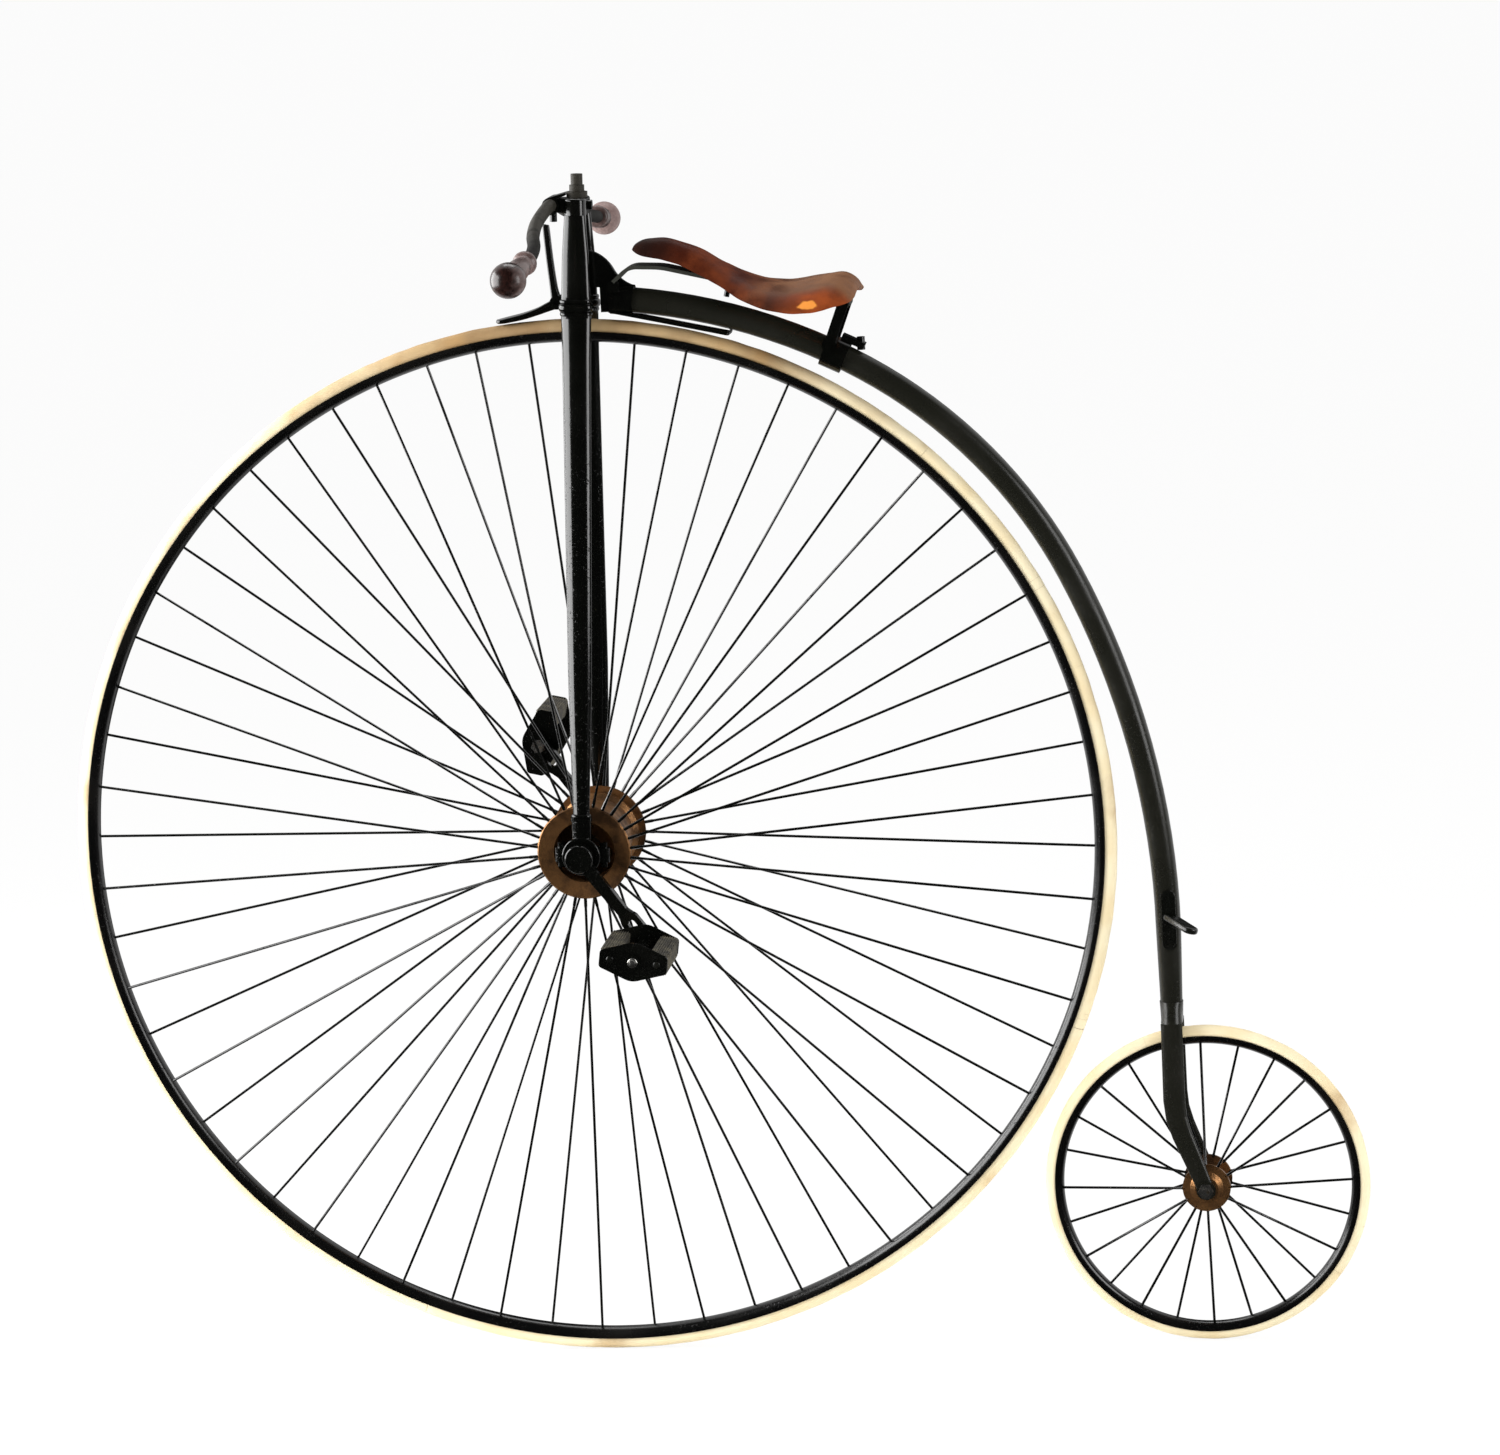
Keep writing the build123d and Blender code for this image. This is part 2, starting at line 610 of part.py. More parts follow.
def crank_angle(side):
    return CRANK_ANGLE if side < 0 else CRANK_ANGLE + 180


def turned(shape, angle):
    """Turn about the axle, from aft towards up."""
    return Rot(0, -angle, 0) * shape


def pin_centre(side):
    angle = radians(crank_angle(side))
    return CRANK_THROW * cos(angle), CRANK_THROW * sin(angle)


# Front fork

def leg_y(z):
    return LEG_FOOT_Y - (LEG_FOOT_Y - LEG_TOP_Y) * z / CROWN_MID


def fork_leg(side):
    stations = []
    for share, width, thick in LEG_STATIONS:
        z = LEG_FOOT_Z + share * (CROWN_LOW - LEG_FOOT_Z)
        stations.append((0, side * leg_y(z), z, width, thick))
    return blade(stations)


def side_stations(side):
    return [(0, side * (LEG_TOP_Y - inwards), CROWN_HIGH + share * HEAD_H, width, thick)
            for share, width, thick, inwards in SIDE_STATIONS]


def bead(width, thick, height):
    """A flat ring with round edges, about a leg at the crown's middle."""
    ring = extrude(SlotOverall(width, thick), height)
    edges = ring.edges().group_by(Axis.Z)
    return fillet(edges[0] + edges[-1], BEAD_ROUND * height)


def fork_crown():
    bridge_low = TYRE_R + CROWN_CLEAR
    bridge = Box(CROWN_DEPTH, 2 * LEG_TOP_Y, CROWN_HIGH - bridge_low)
    whole = Pos(0, 0, (bridge_low + CROWN_HIGH) / 2) * bridge
    width, thick = LEG_STATIONS[-1][1:]
    for side in SIDES.values():
        y = side * LEG_TOP_Y
        whole += blade([(0, side * leg_y(CROWN_LOW), CROWN_LOW, width, thick), (0, y, CROWN_MID, width, thick),
                        side_stations(side)[0]])
        whole += Pos(0, y, CROWN_MID - COLLAR_H / 2) * bead(COLLAR_W, COLLAR_T, COLLAR_H)
        for z in (CROWN_MID - COLLAR_H / 2 - BEAD_H + BEAD_LAP, CROWN_MID + COLLAR_H / 2 - BEAD_LAP):
            whole += Pos(0, y, z) * bead(COLLAR_W - BEAD_IN, COLLAR_T - BEAD_IN, BEAD_H)
    whole += rod((0, 0, CROWN_MID), (0, 0, CROWN_HIGH + CENTRE_DEPTH - CENTRE_SHORT), CENTRE_R)
    return whole + brake_cheeks()


def head_cap():
    width, thick, inwards = SIDE_STATIONS[-1][1:]
    across_sides = 2 * (LEG_TOP_Y - inwards) + thick + CAP_OVER
    cap = Pos(0, 0, HEAD_HIGH) * extrude(Rot(0, 0, 90) * SlotOverall(across_sides, CAP_D), CAP_H)
    cap = fillet(cap.edges().group_by(Axis.Z)[-1], CAP_ROUND)
    aft = CAP_D / 2
    cap += rod((0, 0, BAR_Z), (aft + CAP_NUT_T, 0, BAR_Z), CAP_NUT_R)
    return cap - rod((0, 0, 0), (0, 0, 2 * CAP_HIGH), CENTRE_R)


def steering_bolt():
    """The top centre screw, its nut and the spigot that a lamp bracket clamps to."""
    bolt = rod((0, 0, HEAD_HIGH - CENTRE_DEPTH), (0, 0, CAP_HIGH), CENTRE_R)
    z = CAP_HIGH
    for radius, height in ((TOP_NUT_R, TOP_NUT_T), (RING_R, RING_T), (SPIGOT_R, SPIGOT_H)):
        bolt += rod((0, 0, z), (0, 0, z + height), radius)
        z += height
    return bolt


def bar_lug():
    """The lug on the head's front that the handlebar passes through, with a plate over it."""
    lug = through(BAR_X, BAR_Z, BAR_LUG_W / 2, BAR_LUG_R)
    front = -CAP_D / 2
    lug += Pos((BAR_X + front) / 2, 0, BAR_Z) * Box(front - BAR_X, BAR_PLATE_W, BAR_BRIDGE_H)
    middle = Pos((BAR_X - BAR_LUG_R / 2 + front) / 2, 0, BAR_Z + BAR_LUG_R)
    lug += middle * Rot(0, -BAR_PLATE_TILT, 0) * Box(front - BAR_X + BAR_LUG_R / 2, BAR_PLATE_W, BAR_PLATE_T)
    lug += rod((BAR_X, 0, BAR_Z - BAR_LUG_R - KNOB_H), (BAR_X, 0, BAR_Z), KNOB_R)
    return lug - half_bar(-1) - half_bar(1)


def half_bar(side):
    return bent_rod([(x, side * y, z) for x, y, z in BAR_POINTS], BAR_BENDS, BAR_R)


def grip_frame(side):
    """The plane at the grip's inner end, looking outwards along the bar."""
    inner, outer = [Vector(x, side * y, z) for x, y, z in BAR_POINTS[-2:]]
    out = (outer - inner).normalized()
    return Plane(origin=outer - out * (GRIP_LENGTH - GRIP_BALL_R - GRIP_BACK), x_dir=(1, 0, 0), z_dir=out)


def grip(side):
    """A turned wooden handle that ends in a ball."""
    ball = GRIP_LENGTH - GRIP_BALL_R
    neck_r = GRIP_PROFILE[-1][1]
    neck = (neck_r, ball - sqrt(GRIP_BALL_R ** 2 - neck_r ** 2))
    line = Polyline((0, 0), *[(radius, along) for along, radius in GRIP_PROFILE], neck)
    arc = ThreePointArc(neck, (GRIP_BALL_R, ball), (0, ball + GRIP_BALL_R))
    back = Line((0, ball + GRIP_BALL_R), (0, 0))
    body = revolve(Plane.XZ * make_face(line + arc + back), Axis.Z)
    return grip_frame(side).location * body - half_bar(side)


def housing(side):
    """A ball bearing housing below the leg, with a bolted lug fore and aft."""
    body = fillet(across(0, 0, side * HOUSING_IN, side * HOUSING_OUT, HOUSING_R).edges().filter_by(GeomType.CIRCLE),
                  HOUSING_EDGE)
    middle = side * (HOUSING_IN + HOUSING_OUT) / 2
    body += Pos(0, middle, -HOUSING_LUG_H / 2) * extrude(SlotOverall(2 * HOUSING_LUG, HOUSING_LUG_T), HOUSING_LUG_H)
    foot_y = side * leg_y(LEG_FOOT_Z)
    body += Pos(0, foot_y, 0) * extrude(Ellipse(NECK_W / 2, NECK_T / 2), LEG_FOOT_Z)
    flange = extrude(SlotOverall(FOOT_FLANGE_W, FOOT_FLANGE_D), FOOT_FLANGE_T)
    body += Pos(0, foot_y, LEG_FOOT_Z - FOOT_FLANGE_T) * flange
    reach = HOUSING_LUG_H / 2 + LUG_BOLT_OUT
    for end in (-1, 1):
        x = end * (HOUSING_LUG - HOUSING_LUG_T / 2)
        body += rod((x, middle, -reach), (x, middle, reach), LUG_BOLT_R)
    return body - through(0, 0, 2 * HOUSING_OUT, AXLE_R + RUNNING_FIT)


def brake():
    """A bell crank: an upright arm before the head and a spoon over the tyre."""
    arm = plate(Polygon(*[(x, TYRE_R + over) for x, over in ARM_CORNERS], align=None), -ARM_W / 2, ARM_W / 2)
    low = TYRE_R + SPOON_CLEAR
    shoe = revolve(Pos(low + SPOON_T / 2, 0) * Rectangle(SPOON_T, SPOON_W), Axis.Y, SPOON_SPAN)
    shoe = Rot(0, -SPOON_START - SPOON_SPAN, 0) * shoe
    return arm + shoe + through(*BRAKE_PIVOT, ARM_W / 2 + CHEEK_T, BRAKE_PIVOT_R)


def brake_cheeks():
    """Two cheeks on the crown's front that carry the brake's pivot."""
    x, z = BRAKE_PIVOT
    root = -CROWN_DEPTH / 2 + CHEEK_BITE
    outline = Pos(x, z) * Circle(CHEEK_R) + Pos((x + root) / 2, z) * Rectangle(root - x, 2 * CHEEK_R)
    cheeks = Part()
    for side in SIDES.values():
        cheeks += plate(outline, side * (ARM_W / 2 + CHEEK_GAP), side * (ARM_W / 2 + CHEEK_T))
    return cheeks - through(x, z, ARM_W, BRAKE_PIVOT_R)


# Frame

def spine_path():
    arcs = []
    for (x, z, slope), (radius, turn) in zip(spine_ends(), spine_bends()):
        tangent = (cos(radians(slope)), -sin(radians(slope)))
        arcs.append(Plane.XZ * JernArc((x, z), tangent, radius, -turn))
    return arcs


def backbone():
    whole = Part()
    for arc in spine_path():
        whole += sweep(Plane(origin=arc @ 0, z_dir=arc % 0) * Circle(SPINE_R), arc)
    tail = Cone(TAIL_R, SPINE_R, TAIL_LENGTH, align=(Align.CENTER, Align.CENTER, Align.MIN))
    return whole + Pos(TAIL_X, 0, TAIL_END) * tail


def steer_x(z):
    """X of the steering axis at a height."""
    return z * tan(radians(RAKE))


def from_spine(x, z):
    """X and Z of a point given from the backbone's start."""
    return SPINE_START[0] + x, SPINE_START[1] + z


def neck_lug(spine):
    """The spindle the fork turns on, a web behind it and a sleeve over the backbone's end."""
    low, high = CROWN_HIGH + NECK_GAP, HEAD_HIGH - NECK_GAP
    neck = rod((0, 0, low), (0, 0, high), NECK_R)
    for z in (low, high):
        neck -= rod((0, 0, z - CENTRE_DEPTH), (0, 0, z + CENTRE_DEPTH), CENTRE_R + RUNNING_FIT)
    under = CROWN_HIGH + WEB_OVER
    front = steer_x(CROWN_HIGH) + WEB_FRONT
    start = (steer_x(under), under)
    foot = from_spine(*WEB_FOOT)
    back = [from_spine(*point) for point in WEB_BACK]
    top = (steer_x(back[0][1]), back[0][1])
    outline = Polyline(start, (front, under), (front, foot[1]), foot, back[-1])
    outline += ThreePointArc(back[-1], back[3], back[2])
    outline += ThreePointArc(*reversed(back[:3]))
    outline += Polyline(back[0], top, start)
    web = plate(make_face(outline), -WEB_T / 2, WEB_T / 2)
    web -= in_fork(rod((0, 0, CROWN_LOW), (0, 0, CAP_HIGH), NECK_R - NECK_BITE))
    radius = spine_bends()[0][0]
    slope = radians(SPINE_SLOPE)
    line = Plane.XZ * JernArc(SPINE_START, (cos(slope), -sin(slope)), radius, -degrees(LUG_LENGTH / radius))
    sleeve = sweep(Plane(origin=line @ 0, z_dir=line % 0) * Circle(LUG_R), line)
    x, z = SPRING_POINTS[0]
    whole = web + sleeve + in_fork(neck) + through(x, z - SPRING_BOSS_R + SPRING_T / 2, SPRING_W / 2, SPRING_BOSS_R)
    for x, z, radius, half in LUG_BOLTS:
        whole += through(*from_spine(x, z), half, radius)
    return whole - spine - leaf_spring() - guard_rods()


def leaf_spring():
    spring = strip(SPRING_POINTS, SPRING_BENDS, SPRING_W, SPRING_T)
    eye = through(*SHACKLE_TOP, SPRING_W / 2, EYE_R)
    return spring + eye - through(*SHACKLE_TOP, SPRING_W, SHACKLE_PIN_R)


def shackles():
    """A pair of links and their two pins."""
    links = Part()
    (x0, z0), (x1, z1) = SHACKLE_LOW, SHACKLE_TOP
    angle = degrees(atan2(z1 - z0, x1 - x0))
    outline = SlotCenterToCenter(hypot(x1 - x0, z1 - z0), SHACKLE_W)
    outline = Pos((x0 + x1) / 2, (z0 + z1) / 2) * Rot(0, 0, angle) * outline
    reach = SHACKLE_Y + SHACKLE_T / 2 + SHACKLE_END
    for side in SIDES.values():
        links += plate(outline, side * (SHACKLE_Y - SHACKLE_T / 2), side * (SHACKLE_Y + SHACKLE_T / 2))
        links += across(x0, z0, side * CLAMP_R, side * reach, SHACKLE_PIN_R)
    return links + through(x1, z1, reach, SHACKLE_PIN_R)


def spring_clamp(spine):
    """A block round the backbone that the shackles hinge on, with a bolted ear behind."""
    x, z = SHACKLE_LOW
    start = SHACKLE_X - CLAMP_AHEAD
    low, slope = spine_at(start)
    run = (CLAMP_LENGTH * cos(radians(slope)), CLAMP_LENGTH * sin(radians(slope)))
    body = rod((start, 0, low), (start + run[0], 0, low - run[1]), CLAMP_R)
    body += through(x, z, CLAMP_R + CLAMP_BOSS_OUT, CLAMP_BOSS_R)
    body += Pos(x + EAR_BACK, 0, z + EAR_UP) * Rot(0, slope, 0) * Box(*EAR)
    bolt_x = x + EAR_BACK + EAR[0] / 2 - EAR_BOLT_IN
    body += rod((bolt_x, 0, z - EAR_BOLT_LOW), (bolt_x, 0, z - EAR_BOLT_LOW + EAR_BOLT_H), EAR_BOLT_R)
    return body - spine - shackles()


def saddle():
    """Leather stretched over its frame: arched sections from the peak to the cantle."""
    sections = []
    for aft, top, edge, half in SADDLE_STATIONS:
        x, low = seat(aft, edge)
        high = seat(aft, top)[1]
        outer = ThreePointArc((-half, low), (0, high), (half, low))
        inner_half = half - LEATHER_EDGE
        inner = ThreePointArc((inner_half, low), (0, high - LEATHER_T), (-inner_half, low))
        outline = outer + Line((half, low), (inner_half, low)) + inner + Line((-inner_half, low), (-half, low))
        sections.append(Plane(origin=(x, 0, 0), x_dir=(0, 1, 0), z_dir=(1, 0, 0)) * make_face(outline))
    return loft(sections, ruled=True)


def over_tyre(x, y, over):
    """A point beside the wheel's middle plane that stands over the tyre."""
    return x, y, sqrt((TYRE_R + over) ** 2 - x ** 2)


def guard_rods():
    """Two rods from the lug, joined at their rear ends by one that turns up in a hook."""
    near = [over_tyre(ROD_X_FRONT, -ROD_Y_FRONT, ROD_START), over_tyre(ROD_X_REAR, -ROD_Y_REAR, ROD_END)]
    x, y, z = over_tyre(ROD_X_REAR, ROD_Y_REAR, ROD_END)
    tip = (x, y + ROD_CROSS, z)
    top = tuple(place + run for place, run in zip(tip, HOOK_RUN))
    hook = bent_rod([*near, tip, top], HOOK_BEND, ROD_R)
    far = rod(over_tyre(ROD_X_FRONT, ROD_Y_FRONT, ROD_START), (x + ROD_R / 2, y, z), ROD_R)
    return hook + far + Pos(*top) * Sphere(HOOK_BALL_R)


def rear_crown():
    """A saddle from the round tail to the two blades, with a rivet's head on each side."""
    width, thick = REAR_SIZES[0]
    top = Pos(TAIL_X, 0, TAIL_END) * Circle(REAR_CROWN_R)
    bottom = Pos(TAIL_X, 0, REAR_LEG_HIGH) * Rot(0, 0, 90) * SlotOverall(2 * REAR_LEG_TOP_Y + thick, width)
    middle = (TAIL_END + 2 * REAR_LEG_HIGH) / 3
    return loft([top, bottom], ruled=True) + through(TAIL_X, middle, REAR_LEG_TOP_Y + REAR_RIVET_OUT, REAR_RIVET_R)


def rear_leg(side):
    """A blade that falls from the crown, bends aft and ends in a round eye on the axle."""
    slant = radians(REAR_SLANT)
    bend_run = REAR_BEND_R * (1 - cos(slant))
    bend_fall = REAR_BEND_R * sin(slant)
    bend_high = REAR_AXLE_Z + (REAR_TRAIL - bend_run) / tan(slant) + bend_fall
    path = [(TAIL_X, REAR_LEG_HIGH, 0)]
    for share in (0, 0.5, 1):
        angle = share * slant
        path.append((TAIL_X + REAR_BEND_R * (1 - cos(angle)), bend_high - REAR_BEND_R * sin(angle), angle))
    path.append((REAR_AXLE_X, REAR_AXLE_Z, slant))
    sections = []
    for (x, z, angle), (width, thick) in zip(path, REAR_SIZES):
        share = (REAR_LEG_HIGH - z) / (REAR_LEG_HIGH - REAR_AXLE_Z)
        y = REAR_LEG_TOP_Y + share * (REAR_LEG_FOOT_Y - REAR_LEG_TOP_Y)
        stand = Plane(origin=(x, side * y, z), x_dir=(cos(angle), 0, sin(angle)), z_dir=(-sin(angle), 0, cos(angle)))
        sections.append(stand * Ellipse(width / 2, thick / 2))
    leg = loft(sections, ruled=True)
    y0, y1 = side * (REAR_NUT_IN - REAR_EYE_T), side * REAR_NUT_IN
    leg -= at_rear(across(0, 0, 0, y0, REAR_EYE_R + REAR_EYE_T))
    return leg + at_rear(across(0, 0, y0, y1, REAR_EYE_R)) - at_rear(through(0, 0, 2 * REAR_NUT_IN, REAR_AXLE_R))


def mounting_step(spine):
    """A leaf bolted to the left of the tail, with a toe that stands out aft and to the side."""
    x, z = TAIL_X + STEP_SKEW, REAR_AXLE_Z + REAR_TYRE_R + STEP_MIDDLE
    outer = -TAIL_R - STEP_T
    step = plate(Pos(x, z) * Rot(0, 0, 90) * SlotOverall(STEP_H, STEP_W), outer, outer + 2 * STEP_T)
    for rise in (-STEP_BOLT_RISE, STEP_BOLT_RISE):
        step += across(x, z + rise, outer - STEP_BOLT_OUT, outer + STEP_T, STEP_BOLT_R)
    run = Vector(*TOE_RUN)
    stand = Plane(origin=(x, -TAIL_R, z + TOE_UP), x_dir=run, z_dir=TOE_FACES)
    outline = Pos(run.length / 2, 0) * SlotOverall(run.length + TOE_W / 2, TOE_W)
    toe = extrude(stand * outline, TOE_T / 2, both=True)
    edges = toe.edges().filter_by(GeomType.CIRCLE) + toe.edges().filter_by(Plane(stand.location))
    return step + fillet(edges, TOE_ROUND) - spine


def spring_slope():
    (x0, z0), (x1, z1) = SPRING_POINTS[-2:]
    return atan2(z0 - z1, x1 - x0)


def on_spring(x, lift):
    """X and Z of a point that stands off the spring's middle line by lift."""
    x0, z0 = SPRING_POINTS[-2]
    slope = spring_slope()
    return x + lift * sin(slope), z0 - (x - x0) * tan(slope) + lift * cos(slope)


def frame_points(side):
    """Corners of a saddle rod. It passes the clip beside the spring."""
    points = []
    for aft, y, rise in FRAME_CORNERS:
        x, z = seat(aft, rise)
        points.append((x, side * y, z))
    points.insert(2, (CLIP_X, side * CLIP_ROD_Y, on_spring(CLIP_X, CLIP_ROD_LIFT)[1]))
    return points


def saddle_frame(spring):
    """Two rods from the nose plate to the arched cantle plate, whose foot stands on the spring."""
    x, _, z = frame_points(1)[0]
    frame = Pos(x, 0, z) * Box(*NOSE_PLATE)
    for side in SIDES.values():
        frame += bent_rod(frame_points(side), FRAME_BEND, FRAME_ROD_R)
    (top, end_top), (low, end_low) = [[seat(0, rise)[1] for rise in pair] for pair in (CANTLE_TOP, CANTLE_LOW)]
    upper = ThreePointArc((-CANTLE_HALF, end_top), (0, top), (CANTLE_HALF, end_top))
    lower = ThreePointArc((CANTLE_HALF, end_low), (0, low), (-CANTLE_HALF, end_low))
    outline = upper + Line(upper @ 1, lower @ 0) + lower + Line(lower @ 1, upper @ 0)
    cantle_x = seat(CANTLE_BACK, 0)[0]
    face = Plane(origin=(cantle_x - CANTLE_T / 2, 0, 0), x_dir=(0, 1, 0), z_dir=(1, 0, 0)) * make_face(outline)
    frame += extrude(face, CANTLE_T, dir=(1, 0, 0))
    foot_low = on_spring(cantle_x, 0)[1]
    foot_high = low + CANTLE_LAP
    foot = Box(2 * CANTLE_T, CANTLE_FOOT_W, foot_high - foot_low)
    return frame + Pos(cantle_x - CANTLE_T, 0, (foot_high + foot_low) / 2) * foot - spring


def saddle_clip(frame):
    """A plate across the spring that carries the saddle's rods, bolted to one below it."""
    lift = (SPRING_T + CLIP_T) / 2
    clip = Part()
    for stand in (-lift, lift):
        x, z = on_spring(CLIP_X, stand)
        clip += Pos(x, 0, z) * Rot(0, degrees(spring_slope()), 0) * Box(CLIP_L, CLIP_W, CLIP_T)
    x0, z0 = on_spring(CLIP_X, -CLIP_BOLT_DROP)
    x1, z1 = on_spring(CLIP_X, lift)
    for side in SIDES.values():
        clip += rod((x0, side * CLIP_BOLT_Y, z0), (x1, side * CLIP_BOLT_Y, z1), CLIP_BOLT_R)
    return clip - frame


def main():
    os.makedirs("parts", exist_ok=True)
    spine = backbone()
    put("backbone", spine)
    put("neck_lug", neck_lug(spine))
    put("rear_fork_crown", rear_crown())
    put("mounting_step", mounting_step(spine))
    spring = leaf_spring()
    frame = saddle_frame(spring)
    put("leaf_spring", spring)
    put("saddle_frame", frame)
    put("saddle_clip", saddle_clip(frame))
    put("shackles", shackles())
    put("spring_clamp", spring_clamp(spine))
    put("saddle_leather", saddle())
    put("guard_rods", guard_rods())
    put("rear_axle", rear_axle())
    put("rear_axle_nuts", rear_nuts())

    put("fork_crown", in_fork(fork_crown()))
    put("head_cap", in_fork(head_cap()))
    put("steering_bolt", in_fork(steering_bolt()))
    put("handlebar_lug", in_fork(bar_lug()))
    put("handlebar", in_fork(half_bar(-1) + half_bar(1)))
    put("brake_spoon", in_fork(brake()))

    put("front_tyre", tyre(TYRE_R, TYRE_SECTION))
    put("front_rim", spoked_rim(TYRE_R, TYRE_SECTION, RIM_SECTION, RIM_LIP, SPOKE_COUNT, SPOKE_SPREAD,
                                HUB_FLANGE_R, HUB_HALF - HUB_FLANGE_T / 2))
    put("front_hub", front_hub())
    put("front_axle", front_axle())

    put("rear_tyre", at_rear(tyre(REAR_TYRE_R, REAR_TYRE_SECTION)))
    put("rear_rim", at_rear(spoked_rim(REAR_TYRE_R, REAR_TYRE_SECTION, REAR_RIM_SECTION, REAR_RIM_LIP,
                                       REAR_SPOKE_COUNT, REAR_SPOKE_SPREAD, REAR_FLANGE_R,
                                       REAR_HUB_HALF - REAR_FLANGE_T / 2)))
    put("rear_hub", at_rear(rear_hub()))

    tilts = {"left": LEFT_PEDAL_TILT, "right": RIGHT_PEDAL_TILT}
    for name, side in SIDES.items():
        put("rear_fork_" + name, rear_leg(side))
        put("fork_leg_" + name, in_fork(fork_leg(side)))
        put("head_side_" + name, in_fork(blade(side_stations(side))))
        put("grip_" + name, in_fork(grip(side)))
        put("bearing_" + name, in_fork(housing(side)))
        put("crank_" + name, turned(on_side(crank(), side), crank_angle(side)))
        put("pedal_pin_" + name, turned(on_side(pedal_pin(), side), crank_angle(side)))
        x, z = pin_centre(side)
        put("pedal_plates_" + name, Pos(x, 0, z) * turned(on_side(pedal_frame(), side), tilts[name]))
        put("pedal_rubbers_" + name, Pos(x, 0, z) * turned(on_side(pedal_blocks(), side), tilts[name]))


main()
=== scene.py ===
# %% [markdown]
# A penny farthing bicycle. Its parts come as a finished frame of named nodes, all in metres, with the point
# where the rider sits at the origin. Front is -X, the rider's left is -Y and up is +Z. This lesson gives
# every surface its finish, and models again the pieces whose shape is soft, worn or drawn out by hand: the
# tyres, rims and spokes, the leather, the handles and their bar, the brake spoon, the fork's blades and
# collars, and the pedal blocks with their small fasteners.

# %% Load the frame
import json
import math
import bmesh
import bpy
from mathutils import Matrix, Vector, noise


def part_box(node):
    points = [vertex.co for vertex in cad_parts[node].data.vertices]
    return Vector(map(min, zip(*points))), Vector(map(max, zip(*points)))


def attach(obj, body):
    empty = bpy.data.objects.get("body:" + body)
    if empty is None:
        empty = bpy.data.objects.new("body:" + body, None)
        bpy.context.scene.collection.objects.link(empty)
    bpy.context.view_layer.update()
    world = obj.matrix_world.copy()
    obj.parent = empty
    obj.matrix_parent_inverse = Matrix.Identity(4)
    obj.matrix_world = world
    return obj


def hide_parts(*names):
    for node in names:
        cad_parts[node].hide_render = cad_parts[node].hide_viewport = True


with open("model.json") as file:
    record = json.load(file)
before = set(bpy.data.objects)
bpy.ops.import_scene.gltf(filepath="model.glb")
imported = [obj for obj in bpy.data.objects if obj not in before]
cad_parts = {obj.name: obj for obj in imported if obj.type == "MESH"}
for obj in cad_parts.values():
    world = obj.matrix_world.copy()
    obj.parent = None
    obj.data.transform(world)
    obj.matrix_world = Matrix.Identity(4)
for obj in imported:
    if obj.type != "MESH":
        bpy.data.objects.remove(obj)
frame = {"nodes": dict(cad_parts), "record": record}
NODES = frame["nodes"]
SCENE = bpy.context.scene


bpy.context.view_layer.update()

# %% [markdown]
# The camera stands where the photographer stood: to the left of the machine and far back, so that the
# wheels stay nearly round, a little above the saddle and looking slightly down. Its place and its angles
# were found from the outlines of the two wheels, whose real sizes are known. The focal length is kept in
# pixels of the picture, because that is how it was measured, and turned into a lens by the sensor's width.

# %% The camera
PHOTO_WIDTH = 1500
FOCAL_PIXELS = 5695
SENSOR_MM = 36.0
CAMERA_PLACE = (0.868, -6.926, 0.7205)
LOOK_DOWN, LOOK_LEFT, LEAN = (math.radians(angle) for angle in (10.37, 7.78, -3.1))

stand = bpy.data.cameras.new("camera")
stand.sensor_width = SENSOR_MM
stand.lens = FOCAL_PIXELS / PHOTO_WIDTH * SENSOR_MM
stand.clip_end = 200
camera = bpy.data.objects.new("camera", stand)
SCENE.collection.objects.link(camera)
level = Matrix.Rotation(LOOK_LEFT, 4, "Z") @ Matrix.Rotation(math.pi / 2 - LOOK_DOWN, 4, "X")
camera.matrix_world = Matrix.Translation(CAMERA_PLACE) @ level @ Matrix.Rotation(LEAN, 4, "Z")
SCENE.camera = camera
SCENE.view_settings.view_transform = "Standard"
print("lens", round(stand.lens, 1), "mm")

# %% [markdown]
# A finish is a graph of nodes, and long formulas are hard to read as a graph. The first class below wraps
# one socket, so that a formula on values is written as plain Python, such as 1 - mask or height * 0.3 +
# stain, and each operator adds one Math node. The second class holds the graph. Its method node adds any
# other node from its type, its settings and what goes into its sockets. The third is a board that ends in
# the shader of a solid surface.

# %% A socket that does sums
class Socket:
    """One output of a node. Python's operators on it add Math nodes."""

    def __init__(self, board, socket):
        self.board, self.socket = board, socket

    def math(self, operation, first, second=0.0, clamp=False):
        node = self.board.tree.nodes.new("ShaderNodeMath")
        node.operation = operation
        node.use_clamp = clamp
        self.board.feed(node.inputs[0], first)
        self.board.feed(node.inputs[1], second)
        return Socket(self.board, node.outputs[0])

    def __add__(self, other):
        return self.math("ADD", self, other)

    def __sub__(self, other):
        return self.math("SUBTRACT", self, other)

    def __rsub__(self, other):
        return self.math("SUBTRACT", other, self)

    def __mul__(self, other):
        return self.math("MULTIPLY", self, other)

    __radd__ = __add__

    def clamped(self):
        return self.math("ADD", self, 0.0, clamp=True)


